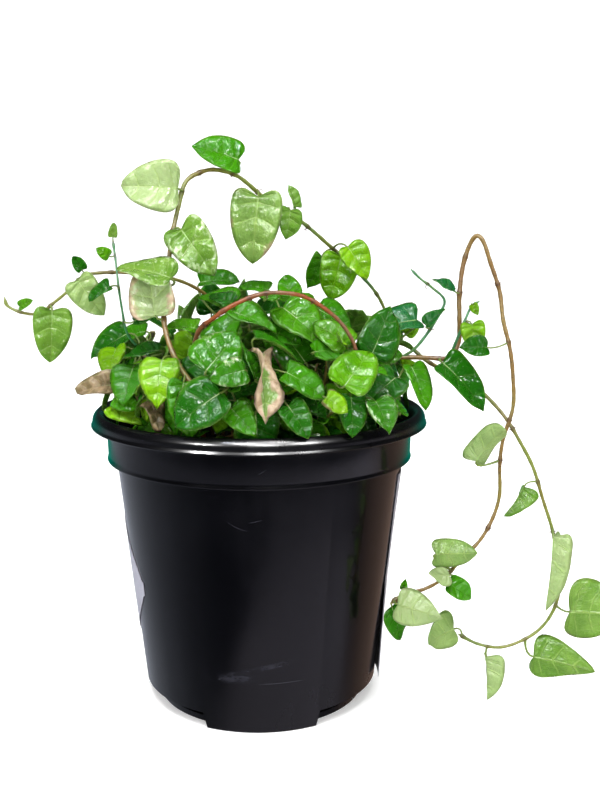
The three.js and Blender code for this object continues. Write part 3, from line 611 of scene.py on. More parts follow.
strewn = node(
    crumb_tree,
    "GeometryNodeInstanceOnPoints",
    {
        "Points": spread.outputs[0],
        "Instance": lump.outputs[0],
        "Rotation": turn.outputs[0],
        "Scale": shape.outputs[0],
    },
)
real = node(crumb_tree, "GeometryNodeRealizeInstances", {0: strewn.outputs[0]})
finish = node(crumb_tree, "GeometryNodeSetMaterial", {"Geometry": real.outputs[0], "Material": given["Finish"]})
crumb_tree.links.new(finish.outputs[0], out[0])

peat, tree, shader, place = surface("soil_dark_peat", Roughness=0.92)
shader.inputs["Specular IOR Level"].default_value = 0.25
clump = noise(tree, place, 160, detail=6, roughness=0.7)
fine = noise(tree, place, 1500, detail=3)
colour = mixed(tree, between(tree, clump, 0.35, 0.7), (0.009, 0.006, 0.004), (0.045, 0.027, 0.016))
colour = mixed(tree, between(tree, fine, 0.62, 0.74), colour, (0.1, 0.065, 0.04))
tree.links.new(colour, shader.inputs["Base Color"])
bumped(tree, shader, maths(tree, "ADD", clump, maths(tree, "MULTIPLY", fine, 0.4)), 0.9, 0.0012)
soil.data.materials.append(peat)

perlite, tree, shader, place = surface("soil_perlite", Roughness=0.8)
pits = noise(tree, place, 1800, detail=2)
tree.links.new(mixed(tree, pits, (0.5, 0.47, 0.41), (0.78, 0.76, 0.7)), shader.inputs["Base Color"])
bumped(tree, shader, pits, 0.5, 0.0003)

for name, material, values in (
    ("soil_crumbs", peat, {"Spacing": 0.0013, "Smallest": 0.0004, "Largest": 0.0012, "Flatness": 0.65, "Seed": 4}),
    ("soil_perlite_grains", perlite, {"Spacing": 0.0068, "Smallest": 0.0006, "Largest": 0.0011, "Flatness": 0.9, "Seed": 11}),
):
    strewing = bpy.data.objects.new(name, soil.data.copy())
    scene.collection.objects.link(strewing)
    grown(strewing, crumb_tree, {**values, "Finish": material})
    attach(strewing, "root")
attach(soil, "root")
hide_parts("potting_soil")


# Leafy stems: each is one living piece, a woody stem with its leaves on thin stalks, and it stands in
# the soil. Every leaf is a thin heart-shaped blade with a midrib, and side veins that fan out of its base.
STEM_STEP = 0.8
BLADE_THICKNESS = 0.62
PETIOLE = 0.4
ATTEMPTS = 60
COLLAR_CLEAR = 90
DRAW_FACTOR = 16807
DRAW_RANGE = 2147483647
VEIN_PAIRS = 5
RIB_PALE = -0.4
SHOOT_GREEN = 0.02
STALK_GREEN = 0.17
OUTLINE_ACROSS = [
    (0, 0), (0.05, 0.28), (0.12, 0.57), (0.22, 0.84), (0.35, 0.99), (0.5, 0.97),
    (0.66, 0.82), (0.8, 0.56), (0.91, 0.28), (1, 0.01),
]
OUTLINE_ALONG = [
    (0, 0), (0.05, -0.06), (0.12, -0.1), (0.22, -0.06), (0.35, 0.1), (0.5, 0.33),
    (0.66, 0.57), (0.8, 0.77), (0.91, 0.9), (1, 1),
]
TIP_DRAWN_IN = [(0, 0), (0.5, 0.02), (0.66, 0.1), (0.8, 0.16), (0.91, 0.13), (1, 0)]
BASE_ROUNDED = [(0, 0), (0.05, 0.07), (0.12, 0.12), (0.22, 0.13), (0.35, 0.08), (0.5, 0.02), (0.66, 0), (1, 0)]
RIB_ALONG = [(0, 0), (0.22, 0.01), (0.35, 0.05), (0.5, 0.17), (0.66, 0.41), (0.8, 0.67), (0.91, 0.87), (1, 1)]
ALONG_LOW = -0.2
ALONG_SPAN = 1.3


def heading(way):
    bearing, rise = (math.radians(a) for a in way)
    return Vector((math.cos(rise) * math.cos(bearing), math.cos(rise) * math.sin(bearing), math.sin(rise)))


def draws_for(stem, number, attempt):
    """Seeded draws from 0 to 1, the same for the same three numbers."""
    state = 1 + stem * 7919 + number * 271 + attempt * 17

    def draw():
        nonlocal state
        state = state * DRAW_FACTOR % DRAW_RANGE
        return state / DRAW_RANGE

    draw()
    draw()
    return draw


class Route:
    """A smooth curve through given points, walked by its length."""

    def __init__(self, points):
        self.points = [Vector(p) for p in points]
        walked = [self.point(i / 200) for i in range(201)]
        self.lengths = [0.0]
        for before, after in zip(walked, walked[1:]):
            self.lengths.append(self.lengths[-1] + (after - before).length)
        self.length = self.lengths[-1]

    def point(self, t):
        points = self.points
        place = t * (len(points) - 1)
        piece = min(int(place), len(points) - 2)
        w = place - piece
        b, c = points[piece], points[piece + 1]
        a = points[piece - 1] if piece else b * 2 - c
        d = points[piece + 2] if piece + 2 < len(points) else c * 2 - b
        start, end = (c - a) / 2, (d - b) / 2
        return b + start * w + (c * 3 - b * 3 - start * 2 - end) * w**2 + (b * 2 - c * 2 + start + end) * w**3

    def share(self, u):
        """The curve's own parameter at a share u of its length."""
        target = u * self.length
        i = min(max(bisect.bisect_right(self.lengths, target) - 1, 0), 199)
        step = self.lengths[i + 1] - self.lengths[i]
        return (i + (target - self.lengths[i]) / step) / 200

    def at(self, u):
        return self.point(self.share(u))

    def way(self, u):
        t = self.share(u)
        return (self.point(min(1, t + 0.0001)) - self.point(max(0, t - 0.0001))).normalized()


def blade_frame(base, points, faces, long, wide, fold, curl):
    """A leaf's place: its base, its way forward, its side and the way that its upper face looks."""
    ahead = points.normalized()
    side = ahead.cross(faces).normalized()
    up = side.cross(ahead).normalized()
    return dict(base=base, ahead=ahead, side=side, up=up, long=long, wide=wide, fold=fold, curl=curl)


def blade_point(leaf, across, along, layer):
    """A point of the blade, which folds along its midrib and curls down towards its tip."""
    turn = leaf["curl"] * along
    bend = leaf["long"] / leaf["curl"]
    out = across * leaf["wide"] / 2
    lifted = leaf["up"] * math.cos(turn) + leaf["ahead"] * math.sin(turn)
    return (
        leaf["base"]
        + leaf["ahead"] * (bend * math.sin(turn))
        - leaf["up"] * (bend * (1 - math.cos(turn)))
        + leaf["side"] * (out * math.cos(leaf["fold"]))
        + lifted * (abs(out) * math.sin(leaf["fold"]) + layer)
    )


def hand_leaf(row, draw, attempt):
    """A listed leaf, nudged a little further each time that it met something."""
    nudge = attempt / ATTEMPTS

    def shift():
        return (draw() - 0.5) * 2 * nudge

    faces = (row["faces"][0] + 35 * shift(), row["faces"][1] + 25 * shift())
    points = (row["points"][0] + 25 * shift(), row["points"][1] + 20 * shift())
    base = Vector(row["base"]) + heading(faces) * (6 * nudge * draw())
    base += Vector((2.5 * shift(), 2.5 * shift(), 2.5 * shift()))
    size = 1 - 0.25 * nudge * draw()
    return blade_frame(
        base,
        heading(points),
        heading(faces),
        row["long"] * size,
        row["wide"] * size,
        math.radians(row["fold"]),
        math.radians(row["curl"]),
    )


YOUNG_ATTEMPTS = 40
YOUNG_DRAWS = 400
YOUNG_LOOKS = ["deep", "mid", "mid", "bright", "fresh", "lime"]
RIM_CLEAR = 98
MAT_RADIUS = 53
MAT_FLOOR = 86


def leaf(base, points, faces, long, wide, fold=14, curl=24, look="mid"):
    return dict(base=base, points=points, faces=faces, long=long, wide=wide, fold=fold, curl=curl, look=look)


# Looks of single leaves: how yellow the green is, how pale, how splashed with cream, how withered
LOOKS = {
    "deep": (0.0, 0.0, 0.0, 0.0),
    "teal": (-0.35, 0.1, 0.0, 0.0),
    "mid": (0.35, 0.0, 0.0, 0.0),
    "bright": (0.6, 0.0, 0.0, 0.0),
    "vivid": (0.8, 0.06, 0.0, 0.0),
    "lime": (1.0, 0.08, 0.0, 0.0),
    "fresh": (0.5, 0.12, 0.0, 0.0),
    "sage": (0.35, 0.5, 0.0, 0.0),
    "mint": (0.35, 0.76, 0.0, 0.0),
    "pale": (0.4, 0.9, 0.0, 0.0),
    "cream": (0.5, 0.85, 0.25, 0.05),
    "variegated": (0.35, 0.5, 0.58, 0.0),
    "blush": (0.4, 0.97, 0.6, 0.35),
    "speckled": (0.3, 0.0, 0.45, 0.0),
    "scorched": (0.3, 0.0, 0.1, 0.35),
    "scorched_sage": (0.35, 0.68, 0.0, 0.2),
    "frosted": (0.3, 0.0, 0.35, 0.0),
    "spotted_mint": (0.35, 0.62, 0.0, 0.12),
    "spotted_lime": (0.95, 0.0, 0.0, 0.3),
    "withered": (0.3, 0.25, 0.3, 1.0),
    "bleached": (0.4, 0.72, 0.6, 0.66),
    "crumpled": (0.3, 0.38, 0.2, 1.0),
}
LEAF_NUMBERS = ("long", "wide", "fold", "curl", "yellow", "pale", "splash", "wither", "wave", "cup", "twist", "sharp", "round", "chance")
LEAF_WAYS = ("base", "ahead", "up", "side")


def formula(tree):
    """Short names for the sums that the blade's shape is written in."""

    def given(name, vector=False):
        kind = "FLOAT_VECTOR" if vector else "FLOAT"
        return node(tree, "GeometryNodeInputNamedAttribute", {"Name": name}, data_type=kind).outputs[0]

    def add(a, b):
        return maths(tree, "ADD", a, b)

    def take(a, b):
        return maths(tree, "SUBTRACT", a, b)

    def times(a, *others):
        for b in others:
            a = maths(tree, "MULTIPLY", a, b)
        return a

    def along_way(way, length):
        return node(tree, "ShaderNodeVectorMath", {0: way, "Scale": length}, operation="SCALE").outputs[0]

    def total(first, *others):
        for each in others:
            first = node(tree, "ShaderNodeVectorMath", {0: first, 1: each}, operation="ADD").outputs[0]
        return first

    return given, add, take, times, along_way, total


def drawn_curve(tree, value, points, low=0.0, span=1.0):
    """The value looked up on a smooth curve through the points."""
    made = node(tree, "ShaderNodeFloatCurve", {"Value": value})
    curve = made.mapping.curves[0]
    for k, (x, y) in enumerate(points):
        y = (y - low) / span
        if k == 0:
            curve.points[0].location = (x, y)
        elif k == len(points) - 1:
            curve.points[1 if len(curve.points) == 2 else -1].location = (x, y)
        else:
            curve.points.new(x, y)
    made.mapping.update()
    looked_up = made.outputs[0]
    return looked_up if (low, span) == (0.0, 1.0) else maths(tree, "MULTIPLY_ADD", looked_up, span, low)


leafy_tree, given, out = tree_of(
    "leafy_stem",
    [
        ("Sides", "NodeSocketInt", 8),
        ("Across", "NodeSocketInt", 9),
        ("Along", "NodeSocketInt", 13),
        ("Thickness", "NodeSocketFloat", 0.0004),
        ("Vein Pairs", "NodeSocketFloat", float(VEIN_PAIRS)),
        ("Puckering", "NodeSocketFloat", 0.00026),
        ("Bark", "NodeSocketMaterial", None),
        ("Blade", "NodeSocketMaterial", None),
    ],
)
named, add, take, times, along_way, total = formula(leafy_tree)

# Stems, stalks and rootlets: a round section drawn along every line, as thick as the line says
is_leaf = named("is_leaf")
parted = node(
    leafy_tree, "GeometryNodeSeparateGeometry", {"Geometry": given["Geometry"], "Selection": is_leaf}, domain="POINT"
)
line = node(leafy_tree, "GeometryNodeMeshToCurve", {"Mesh": parted.outputs["Inverted"]})
ring = node(leafy_tree, "GeometryNodeCurvePrimitiveCircle", {"Resolution": given["Sides"], "Radius": 1.0})
skin = node(
    leafy_tree,
    "GeometryNodeCurveToMesh",
    {"Curve": line.outputs[0], "Profile Curve": ring.outputs[0], "Scale": named("girth"), "Fill Caps": True},
)
bark_skin = node(leafy_tree, "GeometryNodeSetShadeSmooth", {"Geometry": skin.outputs[0], "Shade Smooth": True})

# Blades: an even grid, once for the upper face and once turned over, set down on every leaf's point
grid = node(
    leafy_tree,
    "GeometryNodeMeshGrid",
    {"Size X": 2.0, "Size Y": 1.0, "Vertices X": given["Across"], "Vertices Y": given["Along"]},
)
spot = node(leafy_tree, "ShaderNodeSeparateXYZ", {0: node(leafy_tree, "GeometryNodeInputPosition").outputs[0]})


def stored(geometry, name, value, kind="FLOAT", domain="POINT"):
    return node(
        leafy_tree,
        "GeometryNodeStoreNamedAttribute",
        {"Geometry": geometry, "Name": name, "Value": value},
        data_type=kind,
        domain=domain,
    ).outputs[0]


sheet = stored(grid.outputs[0], "rib", spot.outputs["X"])
sheet = stored(sheet, "run", maths(leafy_tree, "ADD", spot.outputs["Y"], 0.5))
upper = stored(sheet, "under", 0.0)
turned_over = node(leafy_tree, "GeometryNodeFlipFaces", {"Mesh": sheet})
lower = stored(turned_over.outputs[0], "under", 1.0)
both = node(leafy_tree, "GeometryNodeJoinGeometry")
leafy_tree.links.new(upper, both.inputs[0])
leafy_tree.links.new(lower, both.inputs[0])
set_down = node(
    leafy_tree, "GeometryNodeInstanceOnPoints", {"Points": parted.outputs["Selection"], "Instance": both.outputs[0]}
)
blades = node(leafy_tree, "GeometryNodeRealizeInstances", {0: set_down.outputs[0]})

rib, run, under = named("rib"), named("run"), named("under")
far = maths(leafy_tree, "ABSOLUTE", rib)
edge_across = drawn_curve(leafy_tree, run, OUTLINE_ACROSS)
edge_along = drawn_curve(leafy_tree, run, OUTLINE_ALONG, ALONG_LOW, ALONG_SPAN)
edge_across = take(edge_across, times(drawn_curve(leafy_tree, run, TIP_DRAWN_IN), named("sharp")))
edge_along = add(edge_along, times(drawn_curve(leafy_tree, run, BASE_ROUNDED), named("round")))
rib_along = drawn_curve(leafy_tree, run, RIB_ALONG)
across = times(rib, edge_across)
along = add(rib_along, times(take(edge_along, rib_along), maths(leafy_tree, "POWER", far, 1.25)))
# The sheet thins to nothing at its margin and bulges up between its side veins
ends = maths(leafy_tree, "MULTIPLY", take(1.0, run), run)
ends = maths(leafy_tree, "MULTIPLY", ends, 16.0, clamp=True)
thin = times(take(1.0, maths(leafy_tree, "POWER", far, 5.0)), ends)
half = times(given["Thickness"], 0.5, thin, take(1.0, times(under, 2.0)))
quilt = maths(leafy_tree, "COSINE", times(run, given["Vein Pairs"], 2 * math.pi))
quilt = maths(leafy_tree, "MULTIPLY_ADD", quilt, -0.5, 0.5)
open_part = times(far, take(1.15, far), 2.6)
gutter = maths(leafy_tree, "EXPONENT", times(far, far, -60.0))
ruffle = maths(leafy_tree, "SINE", add(add(times(run, 9.0), times(rib, 1.6)), times(named("chance"), 6.28)))
relief = add(times(given["Puckering"], open_part, quilt), times(gutter, ends, -0.00016))
relief = add(relief, times(add(named("cup"), times(named("wave"), ruffle)), far, far, ends))
relief = add(relief, times(named("twist"), rib, run, edge_across))
turn = times(named("curl"), along)
bend = maths(leafy_tree, "DIVIDE", named("long"), named("curl"))
sideways = times(across, named("wide"), 0.5)
soft_fold = maths(leafy_tree, "SQRT", add(times(sideways, sideways), 0.0000002))
soft_fold = take(soft_fold, 0.00045)
rise = add(times(soft_fold, maths(leafy_tree, "SINE", named("fold"))), add(half, relief))
sine, cosine = maths(leafy_tree, "SINE", turn), maths(leafy_tree, "COSINE", turn)
ahead, up, side = named("ahead", True), named("up", True), named("side", True)
place = total(
    named("base", True),
    along_way(ahead, times(bend, sine)),
    along_way(up, times(bend, take(cosine, 1.0))),
    along_way(side, times(sideways, maths(leafy_tree, "COSINE", named("fold")))),
    along_way(up, times(cosine, rise)),
    along_way(ahead, times(sine, rise)),
)
bent = node(leafy_tree, "GeometryNodeSetPosition", {"Geometry": blades.outputs[0], "Position": place})
closed = node(leafy_tree, "GeometryNodeMergeByDistance", {"Geometry": bent.outputs[0], "Distance": 0.00001})
blade_skin = node(leafy_tree, "GeometryNodeSetShadeSmooth", {"Geometry": closed.outputs[0], "Shade Smooth": True})
joined = node(leafy_tree, "GeometryNodeJoinGeometry")
leafy_tree.links.new(bark_skin.outputs[0], joined.inputs[0])
leafy_tree.links.new(blade_skin.outputs[0], joined.inputs[0])
real = node(leafy_tree, "GeometryNodeRealizeInstances", {0: joined.outputs[0]})
barked = node(leafy_tree, "GeometryNodeSetMaterial", {"Geometry": real.outputs[0], "Material": given["Bark"]})
is_blade = maths(leafy_tree, "GREATER_THAN", named("is_leaf"), 0.5)
leaved = node(
    leafy_tree,
    "GeometryNodeSetMaterial",
    {"Geometry": barked.outputs[0], "Selection": is_blade, "Material": given["Blade"]},
)
leafy_tree.links.new(leaved.outputs[0], out[0])


def read(tree, name):
    return node(tree, "ShaderNodeAttribute", attribute_name=name, attribute_type="GEOMETRY").outputs["Fac"]


# Living blade: wet-looking above, paler and duller below, with veins that are light and raised below
blade_green, tree, shader, place = surface("leaf_blade_green")
shader.inputs["Specular IOR Level"].default_value = 0.24
shader.inputs["Subsurface Weight"].default_value = 0.1
shader.inputs["Subsurface Radius"].default_value = (0.0006, 0.0012, 0.0003)
shader.inputs["Subsurface Scale"].default_value = 1.0
rib, run, under = read(tree, "rib"), read(tree, "run"), read(tree, "under")
yellow, pale, splash, wither = (read(tree, name) for name in ("yellow", "pale", "splash", "wither"))
far = maths(tree, "ABSOLUTE", rib)
mottle = noise(tree, place, 130, detail=4, roughness=0.6)
lumps = noise(tree, place, 420, detail=2)
fine = noise(tree, place, 1100, detail=3)
# Side veins are lines of one run that waver a little; the net between them is cells drawn on the blade
step = maths(tree, "MULTIPLY_ADD", run, VEIN_PAIRS, maths(tree, "MULTIPLY_ADD", mottle, 0.5, -0.25))
off_vein = maths(tree, "ABSOLUTE", maths(tree, "SUBTRACT", step, maths(tree, "ROUND", step)))
side_vein = maths(tree, "MULTIPLY", between(tree, off_vein, 0.07, 0.015), between(tree, far, 1.0, 0.6))
midrib = between(tree, far, 0.075, 0.02)
vein = maths(tree, "MAXIMUM", side_vein, midrib)
on_blade = node(tree, "ShaderNodeCombineXYZ", {0: far, 1: maths(tree, "MULTIPLY", run, 1.7), 2: read(tree, "chance")})
cells = node(tree, "ShaderNodeTexVoronoi", {"Vector": on_blade.outputs[0], "Scale": 9.0}, feature="DISTANCE_TO_EDGE")
net = between(tree, cells.outputs["Distance"], 0.08, 0.01)
green = mixed(tree, between(tree, yellow, -0.4, -0.18), (0.001, 0.15, 0.05), (0.014, 0.13, 0.003))
green = mixed(tree, between(tree, yellow, 0.0, 0.5), green, (0.065, 0.28, 0.002))
green = mixed(tree, between(tree, yellow, 0.45, 1.0), green, (0.23, 0.48, 0.005))
green = mixed(tree, between(tree, mottle, 0.35, 0.75, 0.0, 0.4), green, (0.016, 0.13, 0.002))
sage = mixed(tree, between(tree, mottle, 0.3, 0.7), (0.12, 0.25, 0.03), (0.205, 0.355, 0.06))
cream = mixed(tree, mottle, (0.31, 0.43, 0.165), (0.46, 0.54, 0.3))
pallor = maths(tree, "MAXIMUM", pale, maths(tree, "MULTIPLY", under, 0.45))
green = mixed(tree, between(tree, pallor, 0.0, 0.6), green, sage)
green = mixed(tree, between(tree, pallor, 0.6, 1.0), green, cream)
shown = maths(tree, "MULTIPLY_ADD", maths(tree, "MAXIMUM", under, pale), 0.3, 0.07)
lines = maths(tree, "MULTIPLY", maths(tree, "MULTIPLY_ADD", net, 0.3, vein), shown)
lines = maths(tree, "MAXIMUM", lines, between(tree, far, 0.92, 1.0, 0.0, 0.15))
green = mixed(tree, lines, green, (0.4, 0.55, 0.16))
# Cream splashes are dense along the margin and fine further in; withering starts at the margin too
patch = noise(tree, place, 560, detail=4, roughness=0.6, stretch=(1, 1, 0.6))
patch = maths(tree, "MULTIPLY_ADD", maths(tree, "MULTIPLY", far, far), 0.15, patch)
patch = maths(tree, "MULTIPLY_ADD", splash, 0.2, patch)
splashed = maths(tree, "MULTIPLY", between(tree, patch, 0.7, 0.84), between(tree, splash, 0.0, 0.3, 0.0, 0.8))
green = mixed(tree, splashed, green, (0.5, 0.6, 0.36))
edge_in = maths(tree, "MULTIPLY_ADD", mottle, 1.1, maths(tree, "MULTIPLY", far, 0.5))
limit = maths(tree, "MULTIPLY_ADD", wither, -0.95, 1.28)
browned = between(tree, maths(tree, "SUBTRACT", edge_in, limit), -0.05, 0.1)
browned = maths(tree, "MULTIPLY", browned, between(tree, wither, 0.0, 0.2))
dry = mixed(tree, between(tree, lumps, 0.3, 0.7), (0.13, 0.07, 0.035), (0.33, 0.2, 0.12))
papery = mixed(tree, between(tree, lumps, 0.3, 0.7), (0.36, 0.22, 0.15), (0.6, 0.42, 0.31))
brown = mixed(tree, between(tree, pale, 0.2, 0.6), dry, papery)
colour = mixed(tree, maths(tree, "MULTIPLY", browned, 0.85), green, brown)
# Mineral specks, each a pale dot far smaller than a millimetre, lie all over the upper face
dots = node(tree, "ShaderNodeTexVoronoi", {"Vector": place, "Scale": 900.0}, feature="F1")
speck = between(tree, dots.outputs["Distance"], 0.2, 0.08, 0.0, 0.2)
colour = mixed(tree, maths(tree, "MULTIPLY", speck, maths(tree, "SUBTRACT", 1.0, under)), colour, (0.5, 0.62, 0.4))
tree.links.new(colour, shader.inputs["Base Color"])
rough = maths(tree, "MULTIPLY_ADD", under, 0.2, between(tree, fine, 0.3, 0.75, 0.08, 0.22))
rough = maths(tree, "MULTIPLY_ADD", browned, 0.3, rough)
rough = maths(tree, "MULTIPLY_ADD", pale, 0.06, rough, clamp=True)
tree.links.new(rough, shader.inputs["Roughness"])
raised = maths(tree, "MULTIPLY_ADD", under, 2.0, -0.7)
height = maths(tree, "MULTIPLY", maths(tree, "MULTIPLY_ADD", net, 0.35, vein), raised)
pillow = maths(tree, "MULTIPLY", between(tree, off_vein, 0.0, 0.4), between(tree, far, 1.0, 0.7))
height = maths(tree, "MULTIPLY_ADD", pillow, 1.4, height)
height = maths(tree, "MULTIPLY_ADD", fine, 0.5, height)
height = maths(tree, "MULTIPLY_ADD", lumps, 2.6, height)
height = maths(tree, "MULTIPLY_ADD", mottle, 2.4, height)
bumped(tree, shader, height, 0.7, 0.0004)

# Bark by age: pale sap-green ribs, green shoots, olive and tan stems, then red-brown; joints are darker
bark, tree, shader, place = surface("stem_bark")
shader.inputs["Specular IOR Level"].default_value = 0.25
ruddy, joint = read(tree, "ruddy"), read(tree, "joint")
streak = noise(tree, place, 420, detail=4, roughness=0.6)
flake = noise(tree, place, 1600, detail=2)
colour = mixed(tree, between(tree, ruddy, -0.4, -0.1), (0.3, 0.46, 0.15), (0.05, 0.2, 0.075))
colour = mixed(tree, between(tree, ruddy, 0.0, 0.25), colour, (0.2, 0.24, 0.045))
colour = mixed(tree, between(tree, ruddy, 0.25, 0.55), colour, (0.23, 0.145, 0.038))
colour = mixed(tree, between(tree, ruddy, 0.55, 0.8), colour, (0.19, 0.095, 0.04))
colour = mixed(tree, between(tree, ruddy, 0.8, 1.0), colour, (0.27, 0.07, 0.012))
worn = between(tree, ruddy, 0.1, 0.5)
streaked = maths(tree, "MULTIPLY", between(tree, streak, 0.5, 0.75, 0.0, 0.28), worn)
colour = mixed(tree, streaked, colour, (0.34, 0.24, 0.1))
flaked = maths(tree, "MULTIPLY", between(tree, flake, 0.5, 0.75, 0.0, 0.6), worn)
colour = mixed(tree, flaked, colour, (0.05, 0.027, 0.012))
colour = mixed(tree, maths(tree, "MULTIPLY", joint, 0.7), colour, (0.06, 0.022, 0.012))
tree.links.new(colour, shader.inputs["Base Color"])
tree.links.new(between(tree, flake, 0.3, 0.7, 0.34, 0.58), shader.inputs["Roughness"])
bumped(tree, shader, maths(tree, "ADD", streak, maths(tree, "MULTIPLY", flake, 0.5)), 0.5, 0.0003)


def curved(a, b, c, d, steps):
    """Points of a smooth bow from a to d that sets out towards b and arrives from c."""
    made = []
    for i in range(steps + 1):
        t = i / steps
        s = 1 - t
        made.append(a * s**3 + b * (3 * s * s * t) + c * (3 * s * t * t) + d * t**3)
    return made


def settled(candidates, corners):
    """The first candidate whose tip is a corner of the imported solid, and so is the one that it has."""
    for candidate in candidates:
        tip = blade_point(candidate, 0, 1, BLADE_THICKNESS / 2)
        if corners.find(tip)[2] < 0.15:
            return candidate
    return None


def corners_of(name):
    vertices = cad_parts[name].data.vertices
    corners = kdtree.KDTree(len(vertices))
    for i, vertex in enumerate(vertices):
        corners.insert(vertex.co / MM, i)
    corners.balance()
    return corners


class Lines:
    """The lines and leaf points of one leafy stem, gathered before its mesh is made."""

    def __init__(self):
        self.vertices, self.edges, self.girth, self.ruddy, self.joint = [], [], [], [], []
        self.leaves = []

    def draw(self, points, girths, ruddy, joints=None):
        first = len(self.vertices)
        self.vertices += points
        self.edges += [(first + i, first + i + 1) for i in range(len(points) - 1)]
        self.girth += girths
        self.ruddy += ruddy if isinstance(ruddy, list) else [ruddy] * len(points)
        self.joint += joints or [0.0] * len(points)

    def made(self, name):
        count, leaves = len(self.vertices), self.leaves
        mesh = bpy.data.meshes.new(name)
        places = self.vertices + [each["base"] for each in leaves]
        mesh.from_pydata([tuple(p * MM) for p in places], self.edges, [])
        blank = [0.0] * len(leaves)

        def spread(key, kind, values):
            attribute = mesh.attributes.new(key, kind, "POINT")
            attribute.data.foreach_set("value" if kind == "FLOAT" else "vector", np.array(values, "f").ravel())

        spread("girth", "FLOAT", [g * MM for g in self.girth] + blank)
        spread("ruddy", "FLOAT", self.ruddy + blank)
        spread("joint", "FLOAT", self.joint + blank)
        spread("is_leaf", "FLOAT", [0.0] * count + [1.0] * len(leaves))
        for key in LEAF_NUMBERS:
            scale = MM if key in ("long", "wide", "wave", "cup", "twist") else 1
            spread(key, "FLOAT", [0.0] * count + [each[key] * scale for each in leaves])
        for key in LEAF_WAYS:
            scale = MM if key == "base" else 1
            spread(key, "FLOAT_VECTOR", [(0, 0, 0)] * count + [tuple(each[key] * scale) for each in leaves])
        piece = bpy.data.objects.new(name, mesh)
        scene.collection.objects.link(piece)
        return piece


def grow(name, radius, routes, leaves, ruddy, slot, tufts=0.0, fine=False):
    """One leafy stem: its routes, the leaves that settled on it, stalks, joints, buds and rootlets."""
    lines = Lines()
    draw = draws_for(len(name), sum(map(ord, name)), 5)
    walked = [[route.at(k / 240) for k in range(241)] for route in routes]
    knots = [[] for _ in routes]
    for each in leaves:
        best = None
        for r, points in enumerate(walked):
            for k in range(8, 239):
                p = points[k]
                if p.z < COLLAR_CLEAR and math.hypot(p.x, p.y) < COLLAR_RADIUS:
                    continue
                far = (p - each["base"]).length
                if best is None or far < best[0]:
                    best = (far, r, k)
        _, r, k = best
        knots[r].append(k / 240 * routes[r].length)
        root, base = walked[r][k], each["base"]
        gap = (base - root).length
        bow = curved(
            root,
            root + (base - root) * 0.3 + each["ahead"] * (-0.15 * gap) * (0 if gap < 2 else 1),
            base - each["ahead"] * min(0.45 * gap, 3.2) - each["up"] * min(0.1 * gap, 0.8),
            blade_point(each, 0, 0.03, -0.05),
            max(3, round(gap / 1.2)),
        )
        thick = PETIOLE * min(1, 0.4 + each["long"] / 28)
        lines.draw(bow, [thick * (1.2 - 0.35 * min(1, 3 * i / len(bow))) for i in range(len(bow))], STALK_GREEN)
        rib_line = [blade_point(each, 0, y, -0.12) for y in (0.02, 0.12, 0.25, 0.4, 0.55, 0.7, 0.85, 0.96)]
        lines.draw(rib_line, [thick * s for s in (0.7, 0.6, 0.52, 0.45, 0.38, 0.3, 0.2, 0.1)], RIB_PALE)
        lines.leaves.append(each)
    for r, route in enumerate(routes):
        size, first_red, last_red = (radius, *ruddy) if r == 0 else (radius * 0.6, SHOOT_GREEN, SHOOT_GREEN)
        count = max(6, round(route.length / STEM_STEP))
        marks = sorted(knots[r])
        far = 14.0
        while far < route.length - 4:
            if all(abs(far - mark) > 6 for mark in marks):
                marks.append(far + 2 * draw())
            far += 15 + 8 * draw()
        points, girths, reds, joints = [], [], [], []
        for i in range(count + 1):
            far = route.length * i / count
            swell = sum(math.exp(-(((far - mark) / 0.75) ** 2)) for mark in marks)
            left = route.length - far
            tip = min(1, (0.12 + left / 1.5)) * (1 + 0.5 * math.exp(-(((left - 1.9) / 0.9) ** 2)))
            lean = 0.86 - 0.3 * i / count + 0.04 * math.sin(far * 1.7) + 0.03 * math.sin(far * 0.61 + 2)
            points.append(route.at(i / count))
            girths.append(size * lean * (1 + 0.3 * min(1, swell)) * tip)
            reds.append(first_red + (last_red - first_red) * i / count + 0.08 * math.sin(far * 0.23 + r))
            joints.append(min(1.0, swell) * (0.9 if r == 0 else 0.3))
        lines.draw(points, girths, reds, joints)
        for mark in marks:
            for _ in range(6 if draw() < tufts else 0):
                u = min(1, mark / route.length)
                p, way = route.at(u), route.way(u)
                out_way = Vector((draw() - 0.5, draw() - 0.5, draw() - 0.7))
                out_way = (out_way - way * out_way.dot(way)).normalized()
                long = 0.5 + 1.1 * draw()
                hook = way * (2 * draw() - 1) * long
                hair = curved(
                    p, p + out_way * (size * 0.6 + 0.6 * long), p + out_way * (size * 0.6 + long) + hook * 0.4,
                    p + out_way * (size * 0.4 + 0.7 * long) + hook, 4,
                )
                lines.draw(hair, [0.12, 0.1, 0.09, 0.08, 0.05], 0.8, [1.0] * 5)
    piece = lines.made(f"fig_{name}")
    grain = {"Across": 13, "Along": 21} if fine else {"Across": 9, "Along": 13}
    grown(piece, leafy_tree, {"Bark": bark, "Blade": blade_green, **grain})
    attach(piece, "root")
    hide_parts(name)
    return piece


def dressed(placed, look, draw):
    """A settled leaf with its look; the draws make no two leaves of one look the same."""
    yellow, pale, splash, wither = LOOKS[look]
    placed["yellow"] = yellow + 0.3 * (draw() - 0.5)
    placed["pale"] = min(1, max(0, pale + (0.16 * (draw() - 0.5) if pale else 0)))
    placed["splash"], placed["wither"] = splash, wither
    placed["wave"] = placed["long"] * (0.01 + 0.05 * draw()) * (3 if wither > 0.5 else 1)
    placed["cup"] = placed["long"] * (0.09 * draw() - 0.035)
    placed["twist"] = placed["long"] * 0.14 * (draw() - 0.5)
    placed["sharp"] = 1.3 * draw() - 0.5
    placed["round"] = 0.75 * draw()
    placed["chance"] = draw()
    return placed


